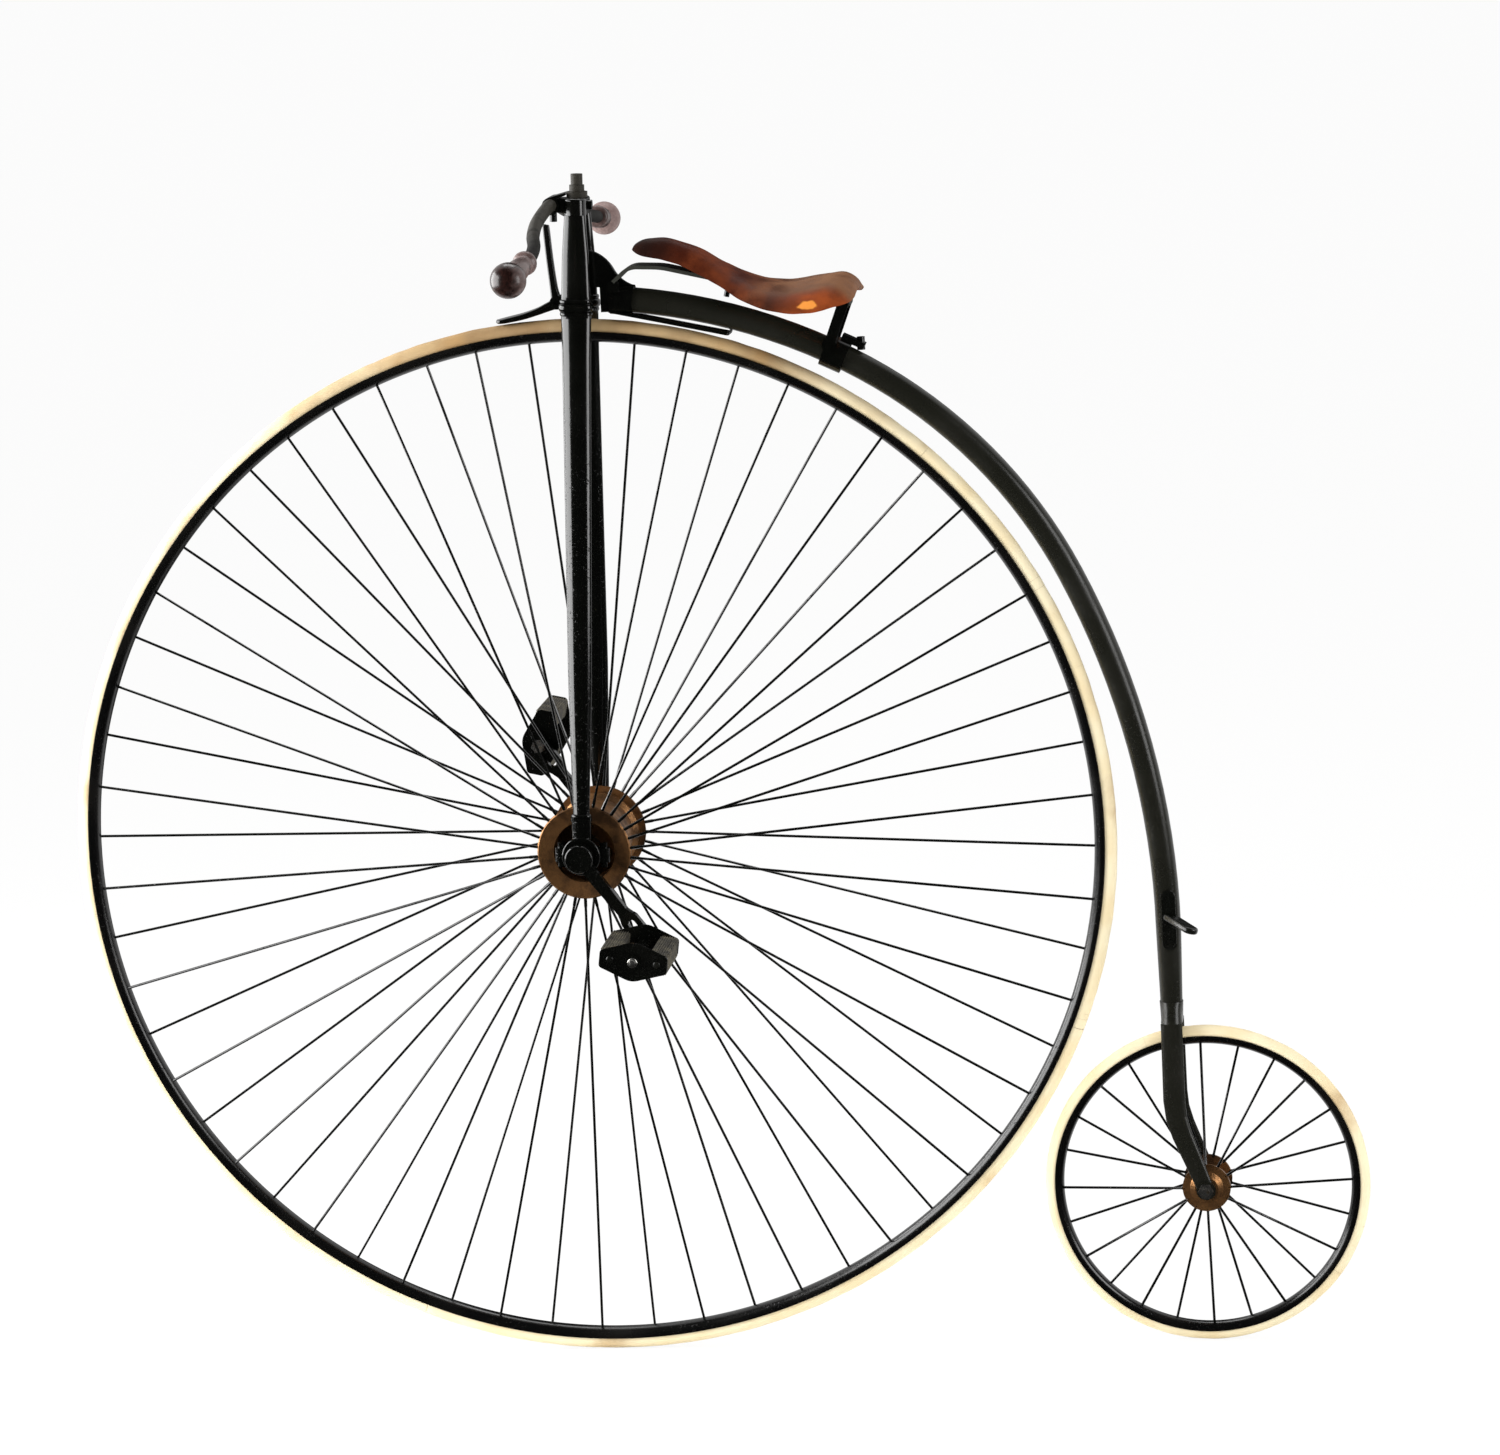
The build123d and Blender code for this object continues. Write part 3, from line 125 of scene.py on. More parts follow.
# %% A board of nodes
class Board:
    """The nodes of a finish, or of the world around the scene."""

    def __init__(self, tree):
        self.tree = tree
        tree.nodes.clear()

    def feed(self, socket, value):
        if isinstance(value, Socket):
            self.tree.links.new(value.socket, socket)
        elif socket.type == "RGBA":
            socket.default_value = (*value, 1)
        else:
            socket.default_value = value

    def node(self, kind, settings=(), out=None, **inputs):
        """Add a node, fill its sockets by name and give its first output or the one named."""
        node = self.tree.nodes.new("ShaderNode" + kind)
        for name, value in dict(settings).items():
            setattr(node, name, value)
        for name, value in inputs.items():
            names = {name, name.replace("_", " ")}
            fitting = [s for s in node.inputs if s.enabled and names & {s.identifier, s.name}]
            self.feed(fitting[0], value)
        shown = {s.name: s for s in node.outputs if s.enabled}
        return Socket(self, shown[out] if out else next(iter(shown.values())))

    def output(self, kind, surface):
        end = self.tree.nodes.new("ShaderNodeOutput" + kind)
        self.feed(end.inputs["Surface"], surface)

    def place(self):
        """The point on the piece, in metres. It moves with the piece."""
        return self.node("TexCoord", out="Object")

    def vector(self, operation, first, second=None):
        others = {} if second is None else {"Vector_001": second}
        return self.node("VectorMath", {"operation": operation}, Vector=first, **others)

    def part(self, axis, vector=None):
        """One of the three numbers of a point."""
        return self.node("SeparateXYZ", out=axis, Vector=vector or self.place())

    def cloud(self, scale, vector=None, detail=4.0):
        """Soft noise from 0 to 1."""
        return self.node("TexNoise", Vector=vector or self.place(), Scale=scale, Detail=detail)

    def between(self, value, low, high):
        """0 below low, 1 above high, and smooth between them."""
        return self.node("MapRange", {"interpolation_type": "SMOOTHSTEP"}, Value=value,
                         From_Min=low, From_Max=high)

    def blend(self, mask, first, second):
        """The first colour where the mask is 0, the second where it is 1."""
        return self.node("Mix", {"data_type": "RGBA"}, Factor=mask, A=first, B=second)


# %% A finish with one Principled shader
class Finish(Board):
    """A material of the object."""

    def __init__(self, name, **constants):
        self.material = bpy.data.materials.new(name)
        self.material.use_nodes = True
        super().__init__(self.material.node_tree)
        self.shader = self.tree.nodes.new("ShaderNodeBsdfPrincipled")
        self.output("Material", Socket(self, self.shader.outputs[0]))
        self.set(**constants)

    def set(self, **values):
        """Values or links of the Principled shader, by socket name with _ for a space."""
        for name, value in values.items():
            self.feed(self.shader.inputs[name.replace("_", " ")], value)

    def bump(self, height, depth):
        self.set(Normal=self.node("Bump", Height=height, Distance=depth, Strength=1.0))


# %% [markdown]
# The studio is a large pale floor under a white world. The floor lies where the two wheels touch it. Seen
# from the camera both are white by their own colour, and the floor keeps the shadows. Shiny black paint
# shows what is around it, and white all round would turn it grey. In such a studio white paper stands
# behind the machine to its left and right, and the rest of the room is dark. So for reflections the world
# and the floor ask one helper how bright they are in a direction, and the tubes stay deep black with bright
# edges.

# %% What shiny things see
WHITE = (1, 1, 1)
WORLD_LIGHT = 0.62
DARK_SIDE = 0.02
PAPER_ASIDE = (0.12, 0.35)     # sideways part of a level direction, from dark to paper
PAPER_BACK = (0.05, 0.35)      # backward part of it


def mirrored_room(board, direction):
    level = board.vector("NORMALIZE", board.vector("MULTIPLY", direction, (1, 1, 0)))
    aside, back = board.part("X", level), board.part("Y", level)
    paper = board.between(aside.math("ABSOLUTE", aside), *PAPER_ASIDE) * board.between(back, *PAPER_BACK)
    return paper * (1 - DARK_SIDE) + DARK_SIDE


def looks(board):
    """Two masks: rays that look straight at the white paper, and rays that see it mirrored."""
    camera, glossy, through_glass = (board.node("LightPath", out=f"Is {kind} Ray")
                                     for kind in ("Camera", "Glossy", "Transmission"))
    straight = (camera + through_glass).clamped()
    return straight, glossy * (1 - straight)


# %% The world
def make_world():
    world = bpy.data.worlds.new("studio")
    SCENE.world = world
    world.use_nodes = True
    board = Board(world.node_tree)
    room = mirrored_room(board, board.node("TexCoord", out="Generated"))
    straight, mirrored = looks(board)
    rest = (1 - straight) * (1 - mirrored)
    strength = straight + mirrored * room + rest * WORLD_LIGHT
    board.output("World", board.node("Background", Color=WHITE, Strength=strength))


make_world()
print("world strength", WORLD_LIGHT)

# %% The floor
FLOOR_Z = min(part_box("front_tyre")[0].z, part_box("rear_tyre")[0].z)
FLOOR_HALF = 60.0
FLOOR_GLOW = 0.92     # share of the paper's own white, the rest shows shadows
FLOOR_COLOUR = (0.97, 0.965, 0.95)


def make_floor():
    mesh = bpy.data.meshes.new("floor")
    square = [(-1, -1), (1, -1), (1, 1), (-1, 1)]
    mesh.from_pydata([(x * FLOOR_HALF, y * FLOOR_HALF, FLOOR_Z) for x, y in square], [], [(0, 1, 2, 3)])
    floor = bpy.data.objects.new("floor", mesh)
    SCENE.collection.objects.link(floor)
    material = bpy.data.materials.new("floor paper")
    material.use_nodes = True
    board = Board(material.node_tree)
    straight, mirrored = looks(board)
    room = mirrored_room(board, board.place())
    paper = board.node("BsdfDiffuse", Color=FLOOR_COLOUR)
    glow = board.node("Emission", Color=WHITE, Strength=straight + mirrored * room)
    share = straight * FLOOR_GLOW + mirrored
    board.output("Material", board.node("MixShader", Fac=share, Shader=paper, Shader_001=glow))
    mesh.materials.append(material)


make_floor()
print("floor at", round(FLOOR_Z, 4))

# %% [markdown]
# Three soft lamps light the machine. A broad one stands at the left of the picture and a narrow one at the
# right, so that every tube has a bright line along it, and a weak one hangs above and behind. They are
# areas, because a softbox gives wide lights with soft borders on paint.

# %% The lamps
# name, place, power in watts, width, height
LAMPS = [("left softbox", (-2.5, -0.3, 0.15), 175, 3.0, 2.2),
         ("right softbox", (3.0, -1.1, 0.3), 50, 1.2, 2.2),
         ("top", (-0.2, 1.5, 3.0), 40, 2.2, 1.2)]
AIM = Vector((0, 0, -0.2))


def make_lamp(name, place, power, width, height):
    lamp = bpy.data.lights.new(name, "AREA")
    lamp.shape = "RECTANGLE"
    lamp.size, lamp.size_y = width, height
    lamp.energy = power
    holder = bpy.data.objects.new(name, lamp)
    turn = (Vector(place) - AIM).to_track_quat("Z", "Y").to_matrix().to_4x4()
    holder.matrix_world = Matrix.Translation(place) @ turn
    SCENE.collection.objects.link(holder)


for lamp in LAMPS:
    make_lamp(*lamp)
print("lamps", [lamp[0] for lamp in LAMPS])

# %% [markdown]
# The fork and the small ironwork are stove enamelled: a hard black paint with a deep gloss. Years of dust
# and handling leave dull patches and fine specks, so colour and roughness vary in soft clouds, and a very
# low bump breaks the straight highlights. The specks are common near the ground, so the function can be
# given heights between which they set in. The backbone has a duller, greener coat, and the leaf spring has
# lost its own and gone a dull grey. Only numbers differ between them, so one function paints them all.

# %% Black enamel, shiny and worn
# two values of a noise: below the first its mask is 0, above the second it is 1
DUST_SPREAD, SPECK_SPREAD, RUBBED_SPREAD = (0.42, 0.75), (0.62, 0.70), (0.45, 0.6)
LOW_SPECKS = 0.7           # how much of the specks shows everywhere below the worn height
UNEVEN = 0.1               # metres over which the line of wear wanders
SPECK_ROUGH = 0.25
ENAMEL_RELIEF = 0.00012    # metres


def enamel(name, colour, dull, shine, dulled, worn_below=None, **constants):
    """worn_below gives two heights: above the first the paint is whole, below the second it is worn."""
    finish = Finish(name, IOR=1.5, **constants)
    dust = finish.between(finish.cloud(9, detail=6), *DUST_SPREAD)
    specks = finish.between(finish.cloud(330, detail=2), *SPECK_SPREAD)
    wear = specks * finish.between(finish.cloud(14), *RUBBED_SPREAD)
    if worn_below:
        whole, worn = worn_below
        height = finish.part("Z") + finish.cloud(12) * UNEVEN - UNEVEN / 2
        wear = (wear + specks * LOW_SPECKS) * (1 - finish.between(height, worn, whole))
    finish.set(Base_Color=finish.blend((dust * 0.5 + wear * 0.6).clamped(), colour, dull),
               Roughness=shine + dust * dulled + wear * SPECK_ROUGH)
    finish.bump(finish.cloud(50, detail=2) + wear * 0.5, ENAMEL_RELIEF)
    return finish.material


# slot: name, colour, dull colour, roughness, roughness that dust adds, heights of wear
PAINTS = {
    "black_enamel": ("black enamel", (0.0012, 0.0014, 0.001), (0.0045, 0.0045, 0.0035), 0.13, 0.08,
                     (0.02, -0.35)),
    "worn_enamel": ("worn enamel", (0.0025, 0.003, 0.002), (0.012, 0.011, 0.008), 0.24, 0.12),
    "rim_black": ("rim enamel", (0.0015, 0.0015, 0.0015), (0.008, 0.007, 0.0055), 0.20, 0.1),
}
FINISHES = {slot: enamel(*paint) for slot, paint in PAINTS.items()}
SPINE_PAINT = enamel("backbone enamel", (0.009, 0.009, 0.006), (0.016, 0.015, 0.010), 0.26, 0.16,
                     (-0.1, -0.6), Specular_IOR_Level=0.36)
SPRING_STEEL = enamel("spring steel", (0.030, 0.031, 0.026), (0.052, 0.052, 0.043), 0.5, 0.14,
                      Specular_IOR_Level=0.04)
print("paints", sorted(FINISHES))

# %% [markdown]
# The hubs are cast and turned gun metal, which is a brass brown with orange lights and tarnishes in darker
# patches. The nuts are bright steel with a little rust in patches. The handlebar was bright steel too, but
# its grey-brown rust shines so little that it isn't metallic here. Its colour is darkened downwards, towards
# the handles, as painted shade. Colour and roughness come from the same clouds, so that a dark patch is
# also a dull one.

# %% Brass, bar steel and bright steel
STAIN_ROUGH, GRAIN_ROUGH = 0.22, 0.08
METAL_RELIEF = 0.0003


def bare_metal(name, bright, darkened, patches, spread, roughness, grain, shaded_below=None, **constants):
    """Two heights may darken the colour downwards as painted shade: above the first only patches are
    stained, below the second all of it is dark.
    """
    finish = Finish(name, **constants)
    darkening = finish.between(finish.cloud(patches, detail=6), *spread)
    # painted shade: below the given heights the colour darkens downwards
    if shaded_below:
        unshaded_above, shaded_under = shaded_below
        darkening = (darkening + 1 - finish.between(finish.part("Z"), shaded_under, unshaded_above)).clamped()
    fine = finish.cloud(grain, detail=2)
    finish.set(Base_Color=finish.blend(darkening, bright, darkened),
               Roughness=roughness + darkening * STAIN_ROUGH + fine * GRAIN_ROUGH)
    finish.bump(fine + darkening * 0.3, METAL_RELIEF)
    return finish.material


FINISHES["hub_brass"] = bare_metal("gun metal", (0.28, 0.135, 0.050), (0.075, 0.036, 0.014), 30,
                                   (0.42, 0.64), 0.30, 400, Metallic=0.8)
# the bar's two heights darken its colour downwards, as painted shade
FINISHES["bar_steel"] = bare_metal("bar steel", (0.034, 0.031, 0.025), (0.006, 0.005, 0.004), 45,
                                   (0.5, 0.8), 0.38, 500, (0.090, 0.073), Specular_IOR_Level=0.1)
FINISHES["bright_steel"] = bare_metal("bright steel", (0.50, 0.49, 0.46), (0.14, 0.11, 0.07), 120,
                                      (0.5, 0.72), 0.24, 700, Metallic=1.0)
print("metals", [slot for slot in FINISHES if slot not in PAINTS])

# %% [markdown]
# The handles are turned hardwood, stained dark red-brown and polished. Under the polish, fine pores run
# along the handle, so the noise is stretched along the bar, which lies nearly along Y. The right handle's
# ball and the left handle's neck are pale, partly worn by hands and partly a painted reflection of the white
# paper in the polish. A mask on Y parts ball from neck, and each handle says how pale the two are.

# %% Polished wood
BALL_FROM = (0.338, 0.352)       # metres out along Y, where neck turns to ball
DARK_WOOD = (0.007, 0.0022, 0.0015), (0.022, 0.007, 0.005)
PALE_WOOD = (0.20, 0.125, 0.115), (0.27, 0.185, 0.17)
GRAIN_STRETCH = (6, 0.8, 6)
WOOD_RELIEF = 0.0001


def grip_wood(name, side, ball_wear_and_sheen, neck_wear_and_sheen):
    """Wood that is dark where it is whole, and pale where hands wore it, with a painted reflection on ball
    and neck.
    """
    finish = Finish(name, IOR=1.45, Coat_Weight=0.1, Coat_Roughness=0.1)
    lengthwise = finish.node("Mapping", Vector=finish.place(), Scale=GRAIN_STRETCH)
    grain = finish.cloud(60, vector=lengthwise, detail=6)
    patch = finish.between(finish.cloud(30, detail=3), 0.45, 0.68)
    ball = finish.between(finish.part("Y") * side, *BALL_FROM)
    # ball and neck are pale partly from wear and partly as a painted reflection; the patches are wear
    wear = ball * ball_wear_and_sheen + (1 - ball) * neck_wear_and_sheen + patch * 0.3
    dark = finish.blend(finish.between(grain, 0.35, 0.65), *DARK_WOOD)
    pale = finish.blend(finish.between(grain, 0.3, 0.7), *PALE_WOOD)
    finish.set(Base_Color=finish.blend(wear.clamped(), dark, pale), Roughness=0.26 + wear * 0.3)
    finish.bump(grain, WOOD_RELIEF)
    return finish.material


# how pale each handle's ball and neck are: partly wear, partly painted reflection
FINISHES["grip_wood"] = grip_wood("polished wood", -1, 0.0, 0.3)
PALE_GRIP = grip_wood("worn wood", 1, 0.8, 0.12)
print("wood", PALE_GRIP.name)

# %% [markdown]
# The tyres are solid rubber, once white. Age has turned them cream, with brown stains where oil and floor
# dirt got in, and it has crossed them with fine cracks. They turn tan towards the top, and the top of the
# big wheel is the darkest. A crack runs across the tread, so its noise must not change from the rim to the
# tread, only along the wheel. The point on the tyre is therefore pushed out onto one circle about the axle
# before it goes into the noise.

# %% Old rubber
CREAM = (0.86, 0.76, 0.52), (0.80, 0.66, 0.40)
TAN = (0.43, 0.29, 0.135), (0.28, 0.17, 0.07)
STAIN_BROWN, CRACK_BROWN = (0.42, 0.24, 0.08), (0.10, 0.055, 0.025)
TAN_HEIGHTS = (-0.09, 0.12)      # metres, moved by the noise below
TAN_WANDER = 0.3
RUBBER_RELIEF = 0.0008


def tyre_rubber(name, node):
    low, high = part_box(node)
    centre, radius = (low + high) / 2, (high.x - low.x) / 2
    finish = Finish(name, Roughness=0.75)
    flat = finish.vector("MULTIPLY", finish.vector("SUBTRACT", finish.place(), centre), (1, 0, 1))
    round_it = finish.vector("MULTIPLY", finish.vector("NORMALIZE", flat), (radius, 0, radius))
    slow = finish.cloud(14, detail=5)
    fine = finish.cloud(420, vector=round_it, detail=3)
    where = finish.between(finish.cloud(5.5, vector=round_it, detail=3), 0.5, 0.66)
    patchy = finish.between(finish.cloud(45, detail=3), 0.42, 0.6)
    crack = finish.between(fine, 0.65, 0.69) * where * patchy
    darkening = finish.between(finish.cloud(9, detail=7), 0.54, 0.74)
    # tan towards the top, by height and a wandering noise
    toward_top = finish.between(finish.part("Z") + finish.cloud(6) * TAN_WANDER, *TAN_HEIGHTS)
    cream = finish.blend(finish.between(slow, 0.35, 0.7), *CREAM)
    tan = finish.blend(finish.between(slow, 0.35, 0.65), *TAN)
    cream_to_tan = finish.blend(toward_top, cream, tan)
    darkened = finish.blend(darkening * 0.7, cream_to_tan, STAIN_BROWN)
    finish.set(Base_Color=finish.blend(crack * 0.6, darkened, CRACK_BROWN))
    finish.bump(slow * 0.6 + finish.cloud(140) * 0.12 - crack * 0.6, RUBBER_RELIEF)
    return finish.material


FINISHES["tyre_rubber"] = tyre_rubber("old rubber", "front_tyre")
REAR_RUBBER = tyre_rubber("old rubber rear", "rear_tyre")
print("rubber", REAR_RUBBER.name)

# %% [markdown]
# The saddle is a single hide stretched over its irons. It is red-brown, nearly black at the nose, dark along
# the sides and orange at the rear flanks, and a greyish painted sheen lies over its top. At the left rear
# the surface is worn through to the bright raw leather below. Each region is a mask on the place, with noise
# added so that its border wanders, and the masks lay one colour over another. The pedals carry grey-brown
# rubber with patches of dust.

# %% Leather
NOSE_AFT = (0.01, 0.075)         # metres aft of the tip over which the dark nose ends
REAR_X, CROWN_X = (-0.04, 0.02), (-0.07, 0.03)     # metres along X over which each comes in
SIDE_OUT = (0.060, 0.078)        # metres out over which the sides begin
LEATHER_RED = (0.052, 0.009, 0.003), (0.145, 0.030, 0.008)
# the first colour is a painted greyish sheen for the top of the hide, the second darkens the sides
CROWN_SHEEN, SIDE_DARK, FLANK_ORANGE = (0.24, 0.120, 0.060), (0.022, 0.007, 0.003), (0.34, 0.068, 0.013)
NOSE_BLACK, BARE_HIDE = (0.010, 0.005, 0.004), (0.80, 0.29, 0.05)
WORN_SPOT = (0.0325, -0.093, -0.0235)
SPOT_SHAPE = (1, 0.5, 2.2)       # it is longer than it is high
SPOT_EDGE = (0.0085, 0.0125)     # metres from its middle, whole hide outside
LEATHER_RELIEF = 0.0005


def saddle_leather():
    finish = Finish("saddle leather", IOR=1.45, Specular_IOR_Level=0.07)
    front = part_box("saddle_leather")[0].x
    x, y = finish.part("X"), finish.part("Y")
    wander = finish.cloud(22, detail=3) - 0.5
    nose = 1 - finish.between(x + wander * 0.05, *(front + aft for aft in NOSE_AFT))
    rear = finish.between(x + wander * 0.06, *REAR_X)
    side = finish.between(y.math("ABSOLUTE", y) + wander * 0.02, *SIDE_OUT)
    crown = finish.between(x + wander * 0.08, *CROWN_X) * (1 - side)
    mottle = finish.between(finish.cloud(26, detail=7), 0.35, 0.68)
    colour = finish.blend(mottle, *LEATHER_RED)
    # painted sheen: the crown is laid over with a greyish highlight colour
    colour = finish.blend(crown * (0.5 + mottle * 0.35), colour, CROWN_SHEEN)
    # darker along the sides, ahead of the rear
    colour = finish.blend(side * (1 - rear) * 0.75, colour, SIDE_DARK)
    colour = finish.blend(side * rear * (0.35 + mottle * 0.5), colour, FLANK_ORANGE)
    colour = finish.blend(nose * 0.85, colour, NOSE_BLACK)
    away = finish.vector("MULTIPLY", finish.vector("SUBTRACT", finish.place(), WORN_SPOT), SPOT_SHAPE)
    torn = finish.cloud(75, detail=3) - 0.5
    distance = finish.node("VectorMath", {"operation": "LENGTH"}, out="Value", Vector=away)
    worn = 1 - finish.between(distance + wander * 0.014 + torn * 0.014, *SPOT_EDGE)
    finish.set(Base_Color=finish.blend(worn, colour, BARE_HIDE), Roughness=0.42 + mottle * 0.2 + worn * 0.2)
    pores = finish.node("TexVoronoi", out="Distance", Vector=finish.place(), Scale=900)
    dry = finish.between(finish.cloud(14), 0.45, 0.6)
    cracks = finish.between(finish.cloud(90, detail=4), 0.56, 0.62) * dry
    finish.bump(pores * 0.25 + finish.cloud(60) * 0.5 - cracks * 0.6, LEATHER_RELIEF)
    return finish.material


FINISHES["saddle_leather"] = saddle_leather()
print("leather", FINISHES["saddle_leather"].name)

# %% Pedal rubber
PEDAL_GREY = (0.035, 0.031, 0.023), (0.135, 0.12, 0.085)
PEDAL_RELIEF = 0.0006


def pedal_rubber():
    finish = Finish("pedal rubber", IOR=1.45)
    dust = finish.between(finish.cloud(55, detail=6), 0.35, 0.68)
    finish.set(Base_Color=finish.blend(dust, *PEDAL_GREY), Roughness=0.62 + dust * 0.2)
    finish.bump(finish.cloud(300), PEDAL_RELIEF)
    return finish.material


FINISHES["pedal_rubber"] = pedal_rubber()
print("finishes", sorted(FINISHES))

# %% [markdown]
# Each node of the frame already knows the name of its finish. The loop puts the finish on it. A node that a
# modelled piece replaces below gets it too, although it will be hidden. A few nodes then get a finish of
# their own: the backbone with the rear fork, the spring, and the nuts of the rear axle.

# %% Dress the frame
for part in frame["record"]["subparts"]:
    mesh = NODES[part["node"]].data
    mesh.materials.clear()
    mesh.materials.append(FINISHES[part["material_slot"]])
for node in ("backbone", "rear_fork_crown", "rear_fork_left", "rear_fork_right"):
    NODES[node].data.materials[0] = SPINE_PAINT
NODES["leaf_spring"].data.materials[0] = SPRING_STEEL
NODES["rear_axle_nuts"].data.materials[0] = FINISHES["bright_steel"]

# %% [markdown]
# Most pieces are made of rings of points, one after another: a lathe's rings stand about its axis, a wire's
# about its path, and the leather's are closed outlines from its nose to its back. One class keeps the points
# and faces, and joins each ring to the next with quads. It can hold many parts, so sixty spokes are still
# one mesh. Matrices put a part in its place, so that it can be drawn upright about the Z axis.

# %% Rings of points that become a mesh
class Rings:
    """Points and faces of one piece, in metres."""

    def __init__(self):
        self.points, self.faces = [], []

    def add(self, rings, closed=False, round_ring=True):
        """Join rings of as many points each. closed joins the last ring to the first, else both ends are
        shut. round_ring joins each ring's last point to its first."""
        start, count = len(self.points), len(rings[0])
        for ring in rings:
            self.points += [tuple(point) for point in ring]
        total = len(rings)
        for row in range(total if closed else total - 1):
            here, there = start + row * count, start + (row + 1) % total * count
            for i in range(count if round_ring else count - 1):
                j = (i + 1) % count
                self.faces.append((here + i, here + j, there + j, there + i))
        if not closed:
            self.faces.append(tuple(range(start + count - 1, start - 1, -1)))
            self.faces.append(tuple(start + (total - 1) * count + i for i in range(count)))
        return self

    def make(self, name, finish, body, slot, replaces=(), sharp=35):
        """The finished piece, riding on its body."""
        mesh = bpy.data.meshes.new(name)
        mesh.from_pydata(self.points, [], self.faces)
        tool = bmesh.new()
        tool.from_mesh(mesh)
        bmesh.ops.remove_doubles(tool, verts=tool.verts, dist=1e-6)
        bmesh.ops.dissolve_degenerate(tool, edges=tool.edges, dist=1e-6)
        bmesh.ops.recalc_face_normals(tool, faces=tool.faces)
        tool.to_mesh(mesh)
        tool.free()
        mesh.materials.append(finish)
        mesh.shade_smooth()
        mesh.set_sharp_from_angle(angle=math.radians(sharp))
        piece = bpy.data.objects.new(name, mesh)
        SCENE.collection.objects.link(piece)
        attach(piece, body)
        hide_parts(*replaces)
        print(name, len(mesh.polygons), "faces on", body)
        return piece


# %% Turned shapes
MM = 0.001
AXLE_FRAME = Matrix.Rotation(math.radians(-90), 4, "X")


def at(x, y, z):
    return Matrix.Translation((x, y, z))


def lathe(profile, steps, place, wobble=None):
    """A profile of (radius, height) in millimetres at each step of a turn about the Z axis of a place."""
    rings = []
    for i in range(steps):
        angle = math.tau * i / steps
        ring = []
        for radius, height in profile:
            extra = wobble(angle, radius, height) if wobble else 0.0
            reach = (radius + extra) * MM
            ring.append(place @ Vector((reach * math.cos(angle), reach * math.sin(angle), height * MM)))
        rings.append(ring)
    return rings


def arc(centre, radius, start, end, steps):
    """Points of an arc in a profile, angles in degrees."""
    turns = [math.radians(start + (end - start) * i / steps) for i in range(steps + 1)]
    return [(centre[0] + radius * math.cos(t), centre[1] + radius * math.sin(t)) for t in turns]


def wheel_frame(node):
    """The frame of a wheel with Z along its axle, and its outer radius in millimetres."""
    low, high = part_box(node)
    return at(*((low + high) / 2)) @ AXLE_FRAME, (high.x - low.x) / 2 / MM


for tyre in ("front_tyre", "rear_tyre"):
    print(tyre, "radius", round(wheel_frame(tyre)[1], 1), "mm")

# %% [markdown]
# A solid tyre is a rubber cord, joined to a ring and cemented in the rim. It could be a torus from the
# menu, but a worn one isn't quite round: the tread has worn flat and has nicks. So its section is turned
# about the axle in small steps, and soft noise without a seam moves each point, mostly inwards.

# %% The two tyres
# node, body, radius of the section in millimetres, steps round the wheel
TYRES = [("front_tyre", "front_wheel", 11.0, 560), ("rear_tyre", "rear_wheel", 9.5, 260)]
SECTION_STEPS = 24
WEAR, NICK_DEPTH = 0.55, 1.6             # millimetres by which the noise moves the tread
NICKS_OVER = 0.35                        # value of the noise over which there is a nick
NOISE_SCALE, NOISE_ACROSS = 0.02, 0.2    # steps in the noise per millimetre, round the wheel and across
WEAR_FINE, NICK_FINE = 2, 14             # these many times finer round the wheel


def make_tyre(node, body, section, steps, finish):
    place, outer = wheel_frame(node)
    middle = outer - section
    profile = arc((middle, 0), section, 0, 360 - 360 / SECTION_STEPS, SECTION_STEPS - 1)

    def worn(angle, radius, height):
        spot = Vector((math.cos(angle), math.sin(angle), 0)) * outer * NOISE_SCALE
        tread = max(0.0, (radius - middle) / section)
        chip = noise.noise(spot * NICK_FINE + Vector((0, 0, height * NOISE_ACROSS)))
        nicks = max(0.0, chip - NICKS_OVER)
        return -tread * (WEAR * (0.5 + noise.noise(spot * WEAR_FINE)) + NICK_DEPTH * nicks)

    rings = lathe(profile, steps, place, worn)
    Rings().add(rings, closed=True).make(node + "_rubber", finish, body, "tyre_rubber", [node], sharp=60)


for tyre, rubber in zip(TYRES, (FINISHES["tyre_rubber"], REAR_RUBBER)):
    make_tyre(*tyre, rubber)

# %% [markdown]
# The rim is a steel crescent with rolled lips, and the spokes are plain wires, headed in the rim, that
# screw into the edge of the hub's flange. Near the hub the thread makes each a little thicker. The wires are
# pulled straight, so a round bar from hub to rim is the true shape. Both wheels come from the same
# functions, and each has a row in a table.

# %% Rims
# node, body, tyre, and in millimetres the radius of the tyre's section, the radius of the rim's back and how
# far its lips stop short of the tyre's middle, then the steps round the wheel
RIMS = [("front_rim", "front_wheel", "front_tyre", 11.0, 13.5, 4.8, 480),
        ("rear_rim", "rear_wheel", "rear_tyre", 9.5, 11.0, 3.6, 240)]
BACK_OFFSET = 0.6     # centre of the rim's back from the line of its lips
LIP_ROUND = 1.0
LIP_TURNS = (-55, 0, 55)
SEAT_GAP = 0.1
BACK_STEPS, SEAT_STEPS = 26, 22


